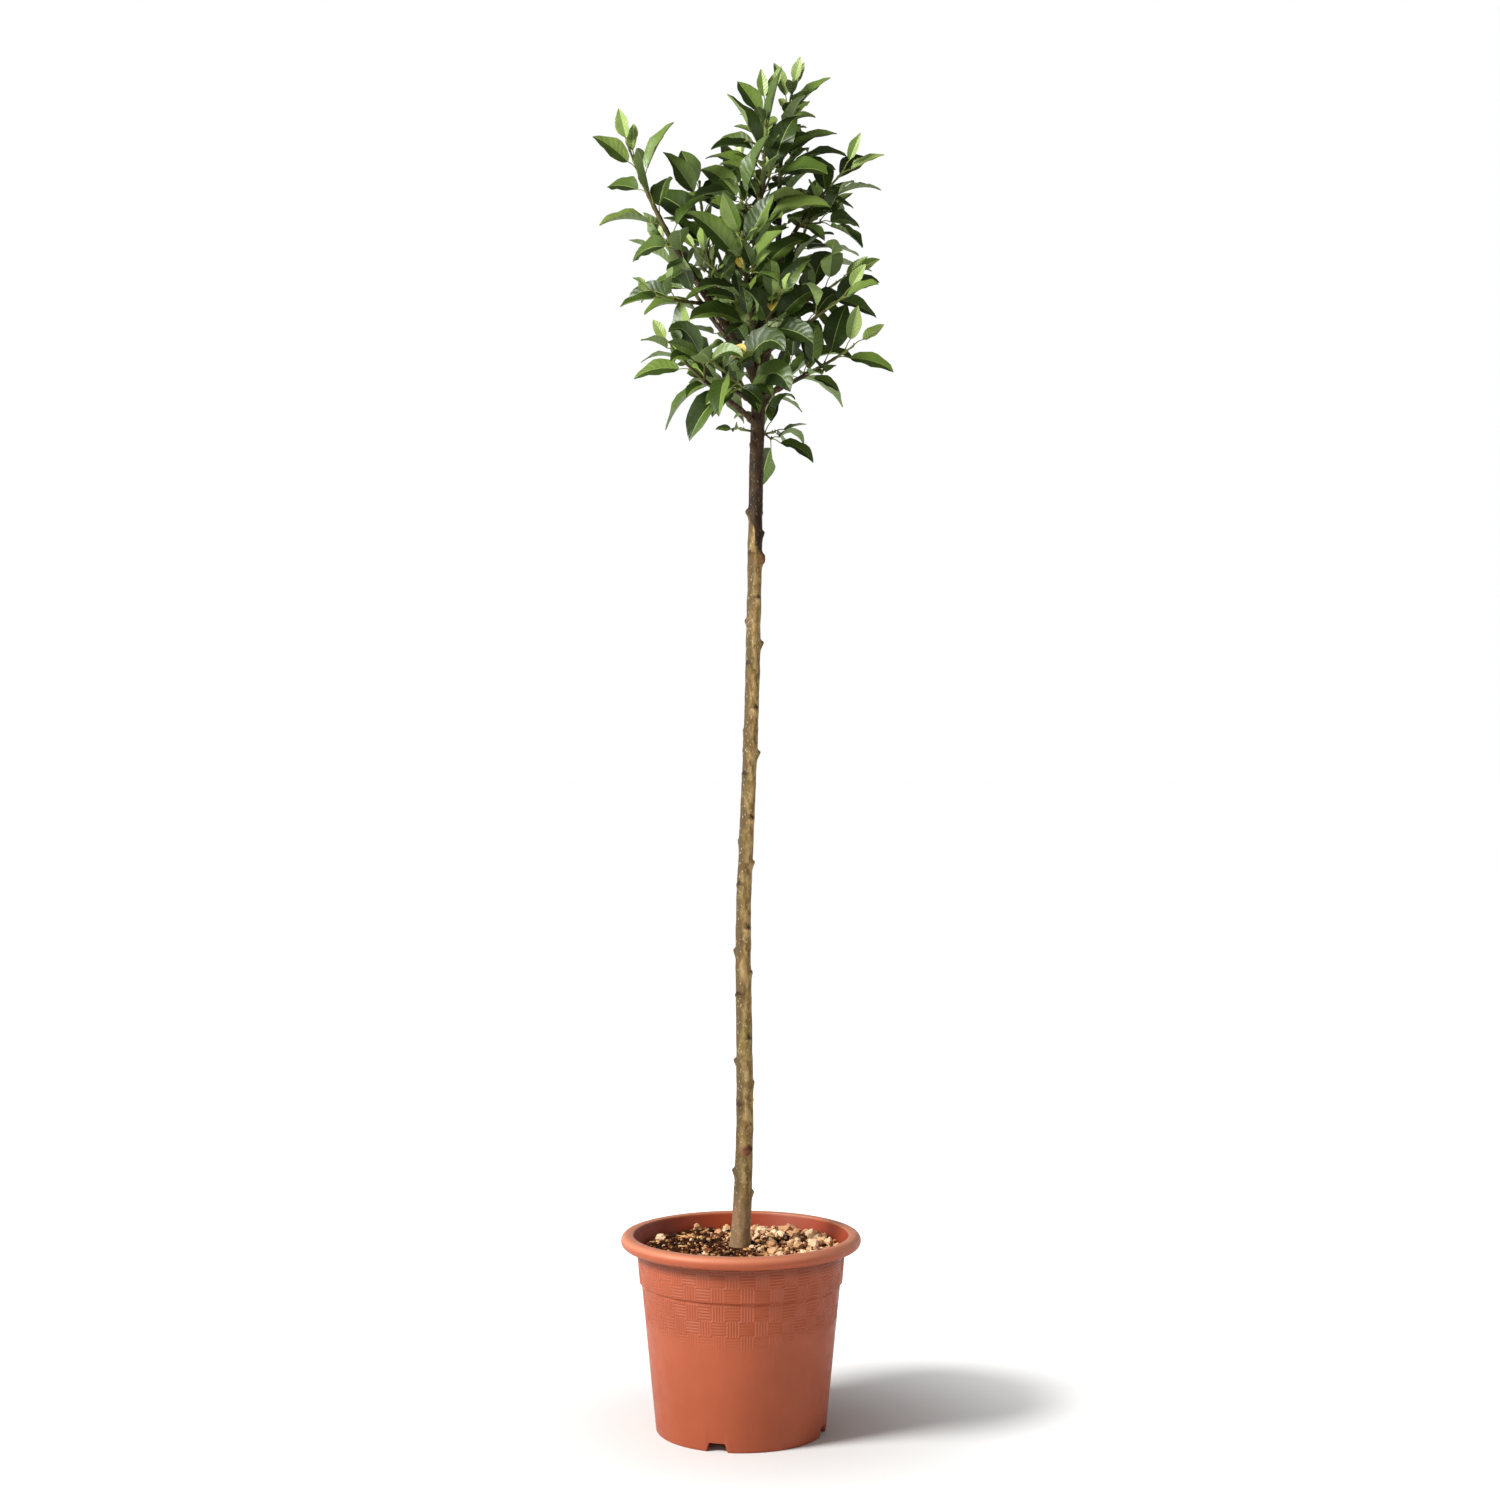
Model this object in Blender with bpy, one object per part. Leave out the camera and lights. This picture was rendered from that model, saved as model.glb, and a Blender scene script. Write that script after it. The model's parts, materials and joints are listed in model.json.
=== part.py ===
"""A young apple tree in a round plastic nursery pot.

The pot is a turned shell with a rolled rim, a stepped band and four drainage notches, and soil fills it.
One slender trunk stands on the soil. Boughs leave it near its top, and every bough, and the trunk itself,
carries one mass of foliage: a stem, short spurs, and leaves set round them two fifths of a turn apart.
Metres, +Z up, the origin at the middle of the pot's flat underside, the front towards -Y.
"""

import math
from dataclasses import dataclass

import bmesh
import bpy
import numpy as np

GAP = 0.0003  # between pieces that touch on the real plant
UP = np.array((0.0, 0.0, 1.0))

# Pot
RIM_RADIUS = 0.160
RIM_TUBE = 0.0085
RIM_HEIGHT = 0.2523  # the middle of the rolled rim
BAND_TOP_RADIUS = 0.1393
BAND_FOOT_RADIUS = 0.1353
BAND_TOP = 0.2440
BAND_FOOT = 0.1980
STEP_RADIUS = 0.1327
BASE_RADIUS = 0.1130
WALL = 0.0030
SKIRT = 0.0040  # the wall's thickness under the floor
FLOOR_LIFT = 0.0120  # the floor's ring stands this high, and its middle reaches the ground
WELL_RADIUS = 0.0740
WELL_DRAFT = 0.0040
STEP_HEIGHT = 0.0020  # the bevel between the band and the wall under it
EDGE_ROUND = 0.0015
RIM_ARC = (-130, 150)  # degrees round the rim's tube
RIM_POINTS = 8
NOTCHES = 4
NOTCH_TURN = math.radians(-106)  # the front notch, left of the middle
NOTCH_WIDTH = 0.0280
NOTCH_TAPER = 0.0030
NOTCH_HEIGHT = 0.0112
NOTCH_REACH = (0.100, 0.125)  # a notch's cutter runs between these radii
POT_SIDES = 40

# Soil
SOIL_TOP = 0.2400
SOIL_CROWN = 0.2434  # the level patch that the trunk stands on
SOIL_PATCH = 0.0220
SOIL_BUMP = 0.0022
SOIL_LIFT = 0.0015  # the uneven top stands this far over its edge
SOIL_RINGS = (0.122, 0.104, 0.084, 0.064, 0.043)
SOIL_SIDES = 32

# Trunk: a lean towards +X in degrees, evenly spaced from foot to tip, and a radius at each height
TRUNK_FOOT = (-0.0013, 0.0, SOIL_CROWN + GAP)
TRUNK_LINE = 1.518
TRUNK_LENGTH = 1.302  # the rest of its line is the stem of the top mass
TRUNK_LEAN = (3.5, 1.5, -1.0, -0.5, 2.6, 2.4, 1.5, 0.8, 1.2, 2.2, -5.0, 9.0, -2.0)
TRUNK_HEIGHTS = (0.244, 0.310, 0.390, 0.570, 0.760, 1.150, 1.370, 1.420, 1.490, 1.545, 1.800)
TRUNK_RADII = (0.0128, 0.0123, 0.0115, 0.0105, 0.0098, 0.0094, 0.0095, 0.0082, 0.0065, 0.0048, 0.0013)
FLARE = 0.0024
FLARE_HEIGHT = 0.012
FLARE_RINGS = (0.0, 0.010, 0.026, 0.048)  # heights over the foot
TRUNK_RING = 0.018  # between the rings over the last joint
TRUNK_SIDES = 10

# Old leaf joints up the trunk: a knob every fifth of two turns
JOINT_FOOT = 0.3157
JOINT_STEP = 0.02933
JOINTS = 35
JOINT_START = math.radians(12)
LEAF_TURN = math.radians(144)
KNOB = 0.0026

# Shoots
SHOOT_TIP_RADIUS = 0.0011
COLLAR = 0.25  # a bough is this much thicker where it leaves its parent
COLLAR_LENGTH = 0.008
SOCKET = 0.008  # a shoot's foot narrows inside its parent over this length
LEAF_GAP = 0.0165  # between neighbouring leaves along a shoot
FIRST_LEAF = 0.012
IN_TRUNK = 0.012  # how much of a shoot that has no bough lies inside its parent
SPUR_SHARE = 0.16  # of the lower leaf joints, the share that holds a spur
SPUR_LENGTH = 0.030
SPUR_RADIUS = 0.0017
SPUR_LEAVES = 3
SPUR_ZONE = 0.55  # spurs grow on this share of a mass's stem
LINE_STEP = 0.004
BOUGH_RING = 0.022
BOUGH_SIDES = 7
STEM_RING = 0.030
STEM_SIDES = 5

# Leaves
LEAF_LENGTH = 0.080
LEAF_WIDTH = 0.56  # as a share of its length
LEAF_BASE = 0.65  # the outline rises from the base by this power, and falls to the point by the next
LEAF_POINT = 0.95
LEAF_THICK = 0.026  # as a share of its length, at the midrib
STALK_LENGTH = 0.024
STALK_RADIUS = 0.0010
BLADE_RINGS = (0.04, 0.34, 0.72)  # shares of its length
LEAF_LIFT = 0.30
FACE_OUT = 0.45  # how far leaves turn their upper face away from the middle of the crown
FACE_SUN = 0.60  # how far they turn it to the sun, which stands in front on the left
SUN = np.array((-0.35, -0.93, 0.0))
ROOM = 0.0075  # the least distance between leaves of two masses, from point to point
OWN_ROOM = 0.0045  # the same between leaves of one mass
LIMB_ROOM = 0.004  # between a leaf and a limb's surface
SAMPLE_STEP = 0.010  # between the points that stand for a limb
TURNS_TRIED = (0, 15, -15, 30, -30, 46, -46, 64, -64)
SIZES_TRIED = (1.0, 0.78)


@dataclass
class Limb:
    """A shoot that leaves its parent. Its first part is a bough, and the rest is the stem of a mass."""

    parent: str
    at: float  # how far up its parent's line it starts
    length: float
    bough: float  # the length of the part that is a bough
    radius: float
    headings: tuple  # degrees round from +X, evenly spaced along it
    climbs: tuple  # degrees above level, evenly spaced along it
    phase: float  # degrees, the turn of its first leaf
    big: float = 1.0
    droop: float = 1.0
    most: int = 99


# parent, at, length, bough, radius, headings, climbs, phase, big, droop, most
LIMBS = {
    "left": Limb(
        "trunk", 1.144, 0.366, 0.165, 0.0068, (206, 199, 193, 175, 169), (68, 52, 57, 64, 70), 120, 0.9, 0.75
    ),
    "right": Limb(
        "trunk", 1.157, 0.396, 0.195, 0.0062, (29, 43, 95, 0, -30, -17), (70, 75, 84, 90, 84, 74), 340, 0.93, 0.94
    ),
    "left_inner": Limb(
        "left", 0.078, 0.225, 0.045, 0.0038, (132, 141, 144, 178), (62, 68, 82, 86), 250, 1.15, 0.75
    ),
    "right_side": Limb(
        "right", 0.165, 0.150, 0.045, 0.0036, (-29, -21, -18, -15), (62, 54, 46, 46), 180, 1, 0.75
    ),
    "front": Limb(
        "trunk", 1.166, 0.190, 0.0, 0.0032, (-103, -108, -112, -92), (60, 61, 66, 80), 350, 1.12, 0.75
    ),
    "low_left": Limb(
        "trunk", 1.094, 0.160, 0.070, 0.0042, (215, 212, 208, 201), (37, 30, 36, 46), 100, 0.85, 1.25
    ),
    "low_right": Limb("trunk", 1.130, 0.150, 0.058, 0.0040, (-29, -26, -18), (20, 22, 32), 110, 0.9, 0.9),
    "mid_right": Limb("trunk", 1.188, 0.150, 0.040, 0.0038, (-40, -38, -23), (18, 26, 32), 230, 1, 1.43),
    "mid_left": Limb("left", 0.128, 0.105, 0.0, 0.0030, (232, 230, 222), (-6, -4, 8), 90, 0.85, 1.43),
    "low_front": Limb(
        "trunk", 1.126, 0.125, 0.0, 0.0032, (-110, -126, -140), (16, 21, 20), 170, 1.15, 1.95
    ),
    "back": Limb(
        "trunk", 1.202, 0.280, 0.080, 0.0048, (102, 105, 102, 113), (54, 60, 74, 80), 0, 1.12, 0.75
    ),
    "back_right": Limb("trunk", 1.224, 0.225, 0.060, 0.0044, (66, 56, 46), (46, 52, 60), 50, 1.12, 0.75),
    "back_left": Limb(
        "trunk", 1.160, 0.272, 0.080, 0.0048, (123, 129, 141, 156), (38, 42, 52, 64), 250, 0.98, 1.04
    ),
    "low_back": Limb("trunk", 1.106, 0.165, 0.060, 0.0040, (78, 66, 52), (32, 33, 42), 340, 1.15, 1.56),
    "low_back_left": Limb(
        "trunk", 1.119, 0.158, 0.050, 0.0038, (123, 132, 143), (30, 26, 32), 330, 1.04, 1.56
    ),
    "inner_right": Limb("right", 0.095, 0.105, 0.0, 0.0028, (-12, -20, -28), (14, 24, 30), 250, 0.85, 1.04),
    "inner_front": Limb("trunk", 1.212, 0.090, 0.0, 0.0028, (-75, -70, -66), (24, 26, 30), 350, 0.93, 1.43),
    "inner_left": Limb("trunk", 1.252, 0.105, 0.0, 0.0028, (-140, -150, -165), (28, 34, 44), 70, 0.98, 1.3),
    "inner_back": Limb("trunk", 1.272, 0.090, 0.0, 0.0026, (110, 125, 140), (26, 32, 40), 200, 0.93, 0.75),
    "spur_right": Limb("trunk", 1.076, 0.045, 0.0, 0.0024, (73, 40), (28, 10), 70, 0.8, 1.76, 2),
    "spur_left": Limb("trunk", 1.084, 0.030, 0.0, 0.0020, (236, 205), (10, 0), 190, 0.5, 2.08, 2),
}

COLOURS = {
    "pot": (0.56, 0.16, 0.07, 0.55),
    "soil": (0.07, 0.035, 0.015, 0.95),
    "trunk": (0.20, 0.14, 0.06, 0.75),
    "bough": (0.07, 0.045, 0.02, 0.75),
    "foliage": (0.09, 0.17, 0.03, 0.50),
}


def unit(vectors):
    return vectors / np.linalg.norm(vectors, axis=-1, keepdims=True)


def material_for(kind):
    """The plain material that every piece of one kind shares."""
    found = bpy.data.materials.get(kind)
    if found:
        return found
    made = bpy.data.materials.new(kind)
    made.use_nodes = True
    shader = made.node_tree.nodes["Principled BSDF"]
    *colour, roughness = COLOURS[kind]
    shader.inputs["Base Color"].default_value = (*colour, 1.0)
    shader.inputs["Roughness"].default_value = roughness
    shader.inputs["Metallic"].default_value = 0.0
    return made


def stack(name, rings, kind, tip=None, folded=False):
    """A closed solid skinned over a stack of rings of points, ending in a flat cap or in one tip point.

    On a folded one every side is split from its even corner, so that thin upper and lower sides split alike.
    """
    rings = np.asarray(rings, float)
    sides = rings.shape[1]
    mesh = bmesh.new()
    grid = [[mesh.verts.new(point) for point in ring] for ring in rings]
    for low, high in zip(grid, grid[1:]):
        for i in range(sides):
            j = (i + 1) % sides
            if not folded:
                mesh.faces.new((low[i], low[j], high[j], high[i]))
            elif i % 2:
                mesh.faces.new((low[i], low[j], high[i]))
                mesh.faces.new((low[j], high[j], high[i]))
            else:
                mesh.faces.new((low[i], low[j], high[j]))
                mesh.faces.new((low[i], high[j], high[i]))
    mesh.faces.new(grid[0][::-1])
    if tip is None:
        mesh.faces.new(grid[-1])
    else:
        end = mesh.verts.new(tip)
        for i in range(sides):
            mesh.faces.new((grid[-1][i], grid[-1][(i + 1) % sides], end))
    bmesh.ops.recalc_face_normals(mesh, faces=mesh.faces)
    data = bpy.data.meshes.new(name)
    mesh.to_mesh(data)
    mesh.free()
    data.materials.append(material_for(kind))
    made = bpy.data.objects.new(name, data)
    bpy.context.scene.collection.objects.link(made)
    return made


def smooth(piece, degrees):
    piece.data.shade_smooth()
    piece.data.set_sharp_from_angle(angle=math.radians(degrees))


def keep_largest_shell(data):
    """Fills any hollow that a join sealed and drops any loose scrap: only the largest shell stays."""
    mesh = bmesh.new()
    mesh.from_mesh(data)
    left = set(mesh.verts)
    shells = []
    while left:
        shell = set()
        edge = {left.pop()}
        while edge:
            shell |= edge
            near = {link.other_vert(vert) for vert in edge for link in vert.link_edges}
            edge = near - shell
        left -= shell
        shells.append(shell)
    shells.sort(key=len)
    for shell in shells[:-1]:
        bmesh.ops.delete(mesh, geom=list(shell), context="VERTS")
    mesh.to_mesh(data)
    mesh.free()


def boolean(piece, operation, others):
    """Joins the pieces to this one, or cuts them from it, applies that and removes them."""
    group = bpy.data.collections.new(f"{piece.name}_{operation}")
    bpy.context.scene.collection.children.link(group)
    for other in others:
        bpy.context.scene.collection.objects.unlink(other)
        group.objects.link(other)
    change = piece.modifiers.new(operation, "BOOLEAN")
    change.operation = operation
    change.operand_type = "COLLECTION"
    change.collection = group
    change.solver = "MANIFOLD"
    graph = bpy.context.evaluated_depsgraph_get()
    changed = bpy.data.meshes.new_from_object(piece.evaluated_get(graph))
    piece.modifiers.clear()
    keep_largest_shell(changed)
    piece.data = changed
    for other in others:
        bpy.data.objects.remove(other)
    bpy.data.collections.remove(group)


def turned(name, profile, sides, kind, heights=None):
    """A turned solid: the profile of (radius, height) points goes round, with a flat cap at each end."""
    turns = np.arange(sides) * 2 * math.pi / sides
    ring = np.stack([np.cos(turns), np.sin(turns)], axis=1)
    rings = np.zeros((len(profile), sides, 3))
    rings[:, :, :2] = np.array(profile)[:, None, :1] * ring
    rings[:, :, 2] = np.array(profile)[:, 1:]
    if heights is not None:
        rings[:, :, 2] += heights
    return stack(name, rings, kind)


def wall_radius(height):
    """The pot wall's outer radius under the step, which grows evenly from base to step."""
    return BASE_RADIUS + (STEP_RADIUS - BASE_RADIUS) * height / BAND_FOOT


def pot_profile():
    """From the middle of the underside out, up the outside, over the rolled rim and down to the floor."""
    well = (WELL_RADIUS - WELL_DRAFT, 0.0)
    skirt = BASE_RADIUS - SKIRT
    underside = [well, (WELL_RADIUS, FLOOR_LIFT), (skirt, FLOOR_LIFT), (skirt, 0.0)]
    foot = [(BASE_RADIUS - EDGE_ROUND, 0.0), (wall_radius(EDGE_ROUND), EDGE_ROUND)]
    body = [(wall_radius(h), h) for h in (BAND_FOOT / 2, BAND_FOOT - STEP_HEIGHT)]
    band = [(BAND_FOOT_RADIUS, BAND_FOOT), (BAND_TOP_RADIUS, BAND_TOP)]
    middle = RIM_RADIUS - RIM_TUBE
    turns = np.radians(np.linspace(*RIM_ARC, RIM_POINTS))
    rim = [(middle + RIM_TUBE * math.cos(a), RIM_HEIGHT + RIM_TUBE * math.sin(a)) for a in turns]
    inside = [
        (BAND_TOP_RADIUS - WALL + STEP_HEIGHT, BAND_TOP + STEP_HEIGHT),
        (BAND_FOOT_RADIUS - WALL, BAND_FOOT),
        (STEP_RADIUS - WALL, BAND_FOOT - 2 * STEP_HEIGHT),
        (wall_radius(FLOOR_LIFT + WALL) - WALL, FLOOR_LIFT + WALL),
        (WELL_RADIUS - WALL, FLOOR_LIFT + WALL),
        (WELL_RADIUS - WELL_DRAFT - WALL, WALL),
    ]
    return underside + foot + body + band + rim + inside


def inner_radius(height):
    """The radius of the pot's inner wall at a height above its floor."""
    steps = pot_profile()[-6:-2][::-1]
    return float(np.interp(height, [h for _, h in steps], [r for r, _ in steps]))


def make_pot():
    pot = turned("pot", pot_profile(), POT_SIDES, "pot")
    group = bpy.data.collections.new("notches")
    bpy.context.scene.collection.children.link(group)
    half = NOTCH_WIDTH / 2
    top = half - NOTCH_TAPER
    shape = [(-half, -WALL), (half, -WALL), (top, NOTCH_HEIGHT), (-top, NOTCH_HEIGHT)]
    for number in range(NOTCHES):
        turn = NOTCH_TURN + number * 2 * math.pi / NOTCHES
        out = np.array((math.cos(turn), math.sin(turn), 0.0))
        side = np.array((-math.sin(turn), math.cos(turn), 0.0))
        ends = [[out * reach + side * x + UP * z for x, z in shape] for reach in NOTCH_REACH]
        cutter = stack(f"notch_{number + 1}", ends, "pot")
        bpy.context.scene.collection.objects.unlink(cutter)
        group.objects.link(cutter)
        cutter.hide_render = True
        cutter.display_type = "WIRE"
    cut = pot.modifiers.new("drainage notches", "BOOLEAN")
    cut.operation = "DIFFERENCE"
    cut.operand_type = "COLLECTION"
    cut.collection = group
    smooth(pot, 35)


def make_soil():
    """Soil that fills the pot a hair clear of it, with an uneven top and a level patch under the trunk."""
    rng = np.random.default_rng(5)
    well = WELL_RADIUS - WALL - 2 * GAP
    floor = [(well - WELL_DRAFT, WALL + GAP), (well, FLOOR_LIFT + WALL + GAP)]
    heights = [FLOOR_LIFT + WALL + GAP, BAND_FOOT - 2 * STEP_HEIGHT, BAND_FOOT, SOIL_TOP]
    side = [(inner_radius(h) - 2 * GAP, h) for h in heights]
    top = [(radius, SOIL_TOP + SOIL_LIFT) for radius in SOIL_RINGS]
    patch = [(SOIL_PATCH, SOIL_CROWN)]
    profile = floor + side + top + patch
    bumps = np.zeros((len(profile), SOIL_SIDES))
    first = len(floor) + len(side)
    bumps[first:-1] = rng.uniform(-SOIL_BUMP, SOIL_BUMP, (len(top), SOIL_SIDES))
    turned("soil", profile, SOIL_SIDES, "soil", bumps)


def grow_line(start, length, headings, climbs):
    """A curve from a start point whose heading and climb change evenly from one given angle to the next."""
    steps = np.linspace(0, 1, max(int(length / LINE_STEP), 8) + 1)
    turn = np.radians(np.interp(steps, np.linspace(0, 1, len(headings)), headings))
    climb = np.radians(np.interp(steps, np.linspace(0, 1, len(climbs)), climbs))
    way = np.stack([np.cos(climb) * np.cos(turn), np.cos(climb) * np.sin(turn), np.sin(climb)], axis=1)
    moves = (way[1:] + way[:-1]) / 2 * length / (len(steps) - 1)
    return np.array(start) + np.vstack([np.zeros(3), np.cumsum(moves, axis=0)])


def place_on(line, length, distance):
    """The points at these distances along a line."""
    known = np.linspace(0, length, len(line))
    return np.stack([np.interp(distance, known, line[:, i]) for i in range(3)], axis=-1)


def way_on(line, length, distance):
    """The directions at these distances along a line."""
    low = np.clip(distance, 0, length - LINE_STEP)
    return unit(place_on(line, length, low + LINE_STEP) - place_on(line, length, low))


def cross_frame(way):
    """Two directions square to each way and to each other, steady along a gently bent line."""
    away = np.eye(3)[np.abs(np.atleast_2d(way).mean(axis=0)).argmin()]
    side = unit(np.cross(way, away))
    return side, np.cross(side, way)


def tube_rings(line, length, distances, radii, sides):
    """Rings of points round a line, at these distances along it."""
    middle = place_on(line, length, distances)
    side, other = cross_frame(way_on(line, length, distances))
    turns = np.arange(sides) * 2 * math.pi / sides
    round_it = np.cos(turns)[:, None] * side[:, None, :] + np.sin(turns)[:, None] * other[:, None, :]
    return middle[:, None, :] + np.asarray(radii)[:, None, None] * round_it


def trunk_radius(height):
    """The trunk's radius at a height, with its root flare, and without its knobs."""
    flare = FLARE * np.exp(-(height - TRUNK_FOOT[2]) / FLARE_HEIGHT)
    return np.interp(height, TRUNK_HEIGHTS, TRUNK_RADII) + flare


def trunk_rings(extra):
    """Level rings up the trunk, with one corner pushed out at each old leaf joint."""
    joints = JOINT_FOOT + JOINT_STEP * np.arange(JOINTS)
    foot = TRUNK_FOOT[2]
    top = place_on(TRUNK, TRUNK_LINE, TRUNK_LENGTH)[2]
    below = foot + np.array(FLARE_RINGS)
    above = np.arange(joints[-1] + JOINT_STEP, top - TRUNK_RING / 2, TRUNK_RING)
    heights = np.concatenate([below, joints, joints + JOINT_STEP / 2, above, [top]])
    heights.sort()
    middle = place_on(TRUNK, TRUNK_LINE, heights - foot)
    middle[:, 2] = heights
    corners = np.arange(TRUNK_SIDES) * 2 * math.pi / TRUNK_SIDES + JOINT_START
    radii = np.repeat(trunk_radius(heights)[:, None] + extra, TRUNK_SIDES, axis=1)
    for number, joint in enumerate(joints):
        corner = 4 * number % TRUNK_SIDES
        radii[np.abs(heights - joint).argmin(), corner] += KNOB * (1 + 0.5 * math.sin(2.3 * number))
    ring = np.stack([np.cos(corners), np.sin(corners), 0 * corners], axis=1)
    return middle[:, None, :] + radii[:, :, None] * ring


def limb_radius(limb, distance):
    """A shoot's radius along it, with the collar at its foot."""
    share = np.clip(1 - np.asarray(distance) / limb.length, 0, 1)
    collar = 1 + COLLAR * np.exp(-np.asarray(distance) / COLLAR_LENGTH)
    return (SHOOT_TIP_RADIUS + (limb.radius - SHOOT_TIP_RADIUS) * share**0.85) * collar


def spread(start, end, gap):
    """Distances from start to end, evenly spaced and about this far apart."""
    return np.linspace(start, end, max(int(round((end - start) / gap)), 1) + 1)


def bough_rings(name, extra):
    """The rings of a limb's bough, which starts inside its parent."""
    limb = LIMBS[name]
    distances = np.append(0, spread(SOCKET, limb.bough, BOUGH_RING))
    radii = limb_radius(limb, distances) * np.where(distances == 0, 0.5, 1.0) + extra
    return tube_rings(LINES[name], limb.length, distances, radii, BOUGH_SIDES)


def fat_parent(name):
    """A copy of what a limb grows from, one gap larger all round, to cut the limb back with."""
    parent = LIMBS[name].parent
    rings = trunk_rings(GAP) if parent == "trunk" else bough_rings(parent, GAP)
    return stack("cutter", rings, "bough")


@dataclass
class Leaf:
    """A leaf's own sizes: where its stalk starts and its blade starts, and how the blade lies."""

    root: np.ndarray
    foot: np.ndarray
    heading: np.ndarray
    face: np.ndarray
    length: float
    width: float
    droop: float
    fold: float


def outline(along):
    """A leaf's half width along it as a share of its widest: an egg shape drawn out to a point."""
    widest = LEAF_BASE / (LEAF_BASE + LEAF_POINT)
    return (along / widest) ** LEAF_BASE * ((1 - along) / (1 - widest)) ** LEAF_POINT


def leaf_frames(leaf, along):
    """The midrib's points, and the directions across and out of the upper face there."""
    steps = np.linspace(0, 1, 21)
    way = unit(leaf.heading - leaf.droop * steps[:, None] ** 1.5 * UP)
    moves = (way[1:] + way[:-1]) / 2 * leaf.length / 20
    middle = leaf.foot + np.vstack([np.zeros(3), np.cumsum(moves, axis=0)])
    middle = np.stack([np.interp(along, steps, middle[:, i]) for i in range(3)], axis=-1)
    way = unit(np.stack([np.interp(along, steps, way[:, i]) for i in range(3)], axis=-1))
    side = unit(np.cross(way, leaf.face))
    return middle, side, np.cross(side, way)


def leaf_points(leaf, along, across):
    """Points on a leaf's upper face, at shares along it from 0 to 1 and across it from -1 to 1."""
    middle, side, out = leaf_frames(leaf, along)
    half = leaf.width / 2 * outline(along)
    fold = leaf.fold * (1 - 0.4 * along)
    lift = np.abs(across) * np.sin(fold) - 0.16 * across**2
    return middle + side * (across * half * np.cos(fold))[..., None] + out * (lift * half)[..., None]


def leaf_solid(leaf):
    """The leaf as a folded wedge on a thin stalk, in four-cornered rings."""
    along = np.array(BLADE_RINGS)
    middle, side, out = leaf_frames(leaf, along)
    thick = leaf.length * LEAF_THICK * np.array((0.7, 1.0, 0.8))[:, None] / 2
    left = leaf_points(leaf, along, np.full(3, -1.0))
    right = leaf_points(leaf, along, np.full(3, 1.0))
    blade = np.stack([left, middle + out * thick, right, middle - out * thick], axis=1)
    stalk_side = side[0] * STALK_RADIUS
    stalk_out = out[0] * STALK_RADIUS
    start = leaf.root + np.stack([-stalk_side, stalk_out, stalk_side, -stalk_out])
    tip = leaf_points(leaf, np.array([1.0]), np.array([0.0]))[0]
    return stack("leaf", np.concatenate([start[None], blade]), "foliage", tip, folded=True)


def leaf_samples(leaf):
    """Points all over the leaf, to measure its distance to other pieces."""
    along, across = np.meshgrid(np.linspace(0.04, 1, 10), (-0.96, -0.5, 0.0, 0.5, 0.96))
    return np.vstack([leaf_points(leaf, along.ravel(), across.ravel()), (leaf.root + leaf.foot) / 2])


class Space:
    """The points that each piece takes up, so that a leaf keeps out of every other piece's space."""

    def __init__(self):
        self.points = np.zeros((0, 3))
        self.room = np.zeros(0)
        self.owner = np.zeros(0, int)
        self.is_leaf = np.zeros(0, bool)
        self.names = []

    def take(self, name, points, room, is_leaf=False):
        if name not in self.names:
            self.names.append(name)
        self.points = np.vstack([self.points, points])
        self.room = np.concatenate([self.room, np.broadcast_to(room, len(points))])
        self.owner = np.concatenate([self.owner, np.full(len(points), self.names.index(name))])
        self.is_leaf = np.concatenate([self.is_leaf, np.full(len(points), is_leaf)])

    def is_free(self, name, points):
        """Whether the points keep clear of other pieces, and of the leaves of their own."""
        own = self.owner == self.names.index(name)
        room = np.where(own, OWN_ROOM * self.is_leaf, self.room)
        apart = np.linalg.norm(points[:, None] - self.points[None], axis=2)
        return bool((apart > room).all())


def make_leaf(root, way, turn, pitch, size, stalk, droop, rng):
    """A leaf on a shoot: at a point and direction of the shoot, turned round it and pitched out from it."""
    side, other = cross_frame(way)
    out = math.cos(turn) * side + math.sin(turn) * other
    heading = unit(math.cos(pitch) * way + math.sin(pitch) * out + LEAF_LIFT * UP)
    stalk_way = unit(math.cos(0.7 * pitch) * way + math.sin(0.7 * pitch) * out + 0.1 * UP)
    tilt = rng.uniform(-0.6, 0.6)
    outward = unit((root - CROWN_MIDDLE) * (1, 1, 0.3))
    face = unit(0.4 * way + 0.8 * UP + FACE_OUT * outward + FACE_SUN * SUN + tilt * np.cross(heading, UP))
    length = LEAF_LENGTH * size * rng.uniform(0.9, 1.1)
    width = length * LEAF_WIDTH * rng.uniform(0.88, 1.12)
    droop = droop * rng.uniform(0.7, 1.3)
    fold = rng.uniform(0.20, 0.60)
    return Leaf(root, root + stalk * stalk_way, heading, face, length, width, droop, fold)


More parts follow.
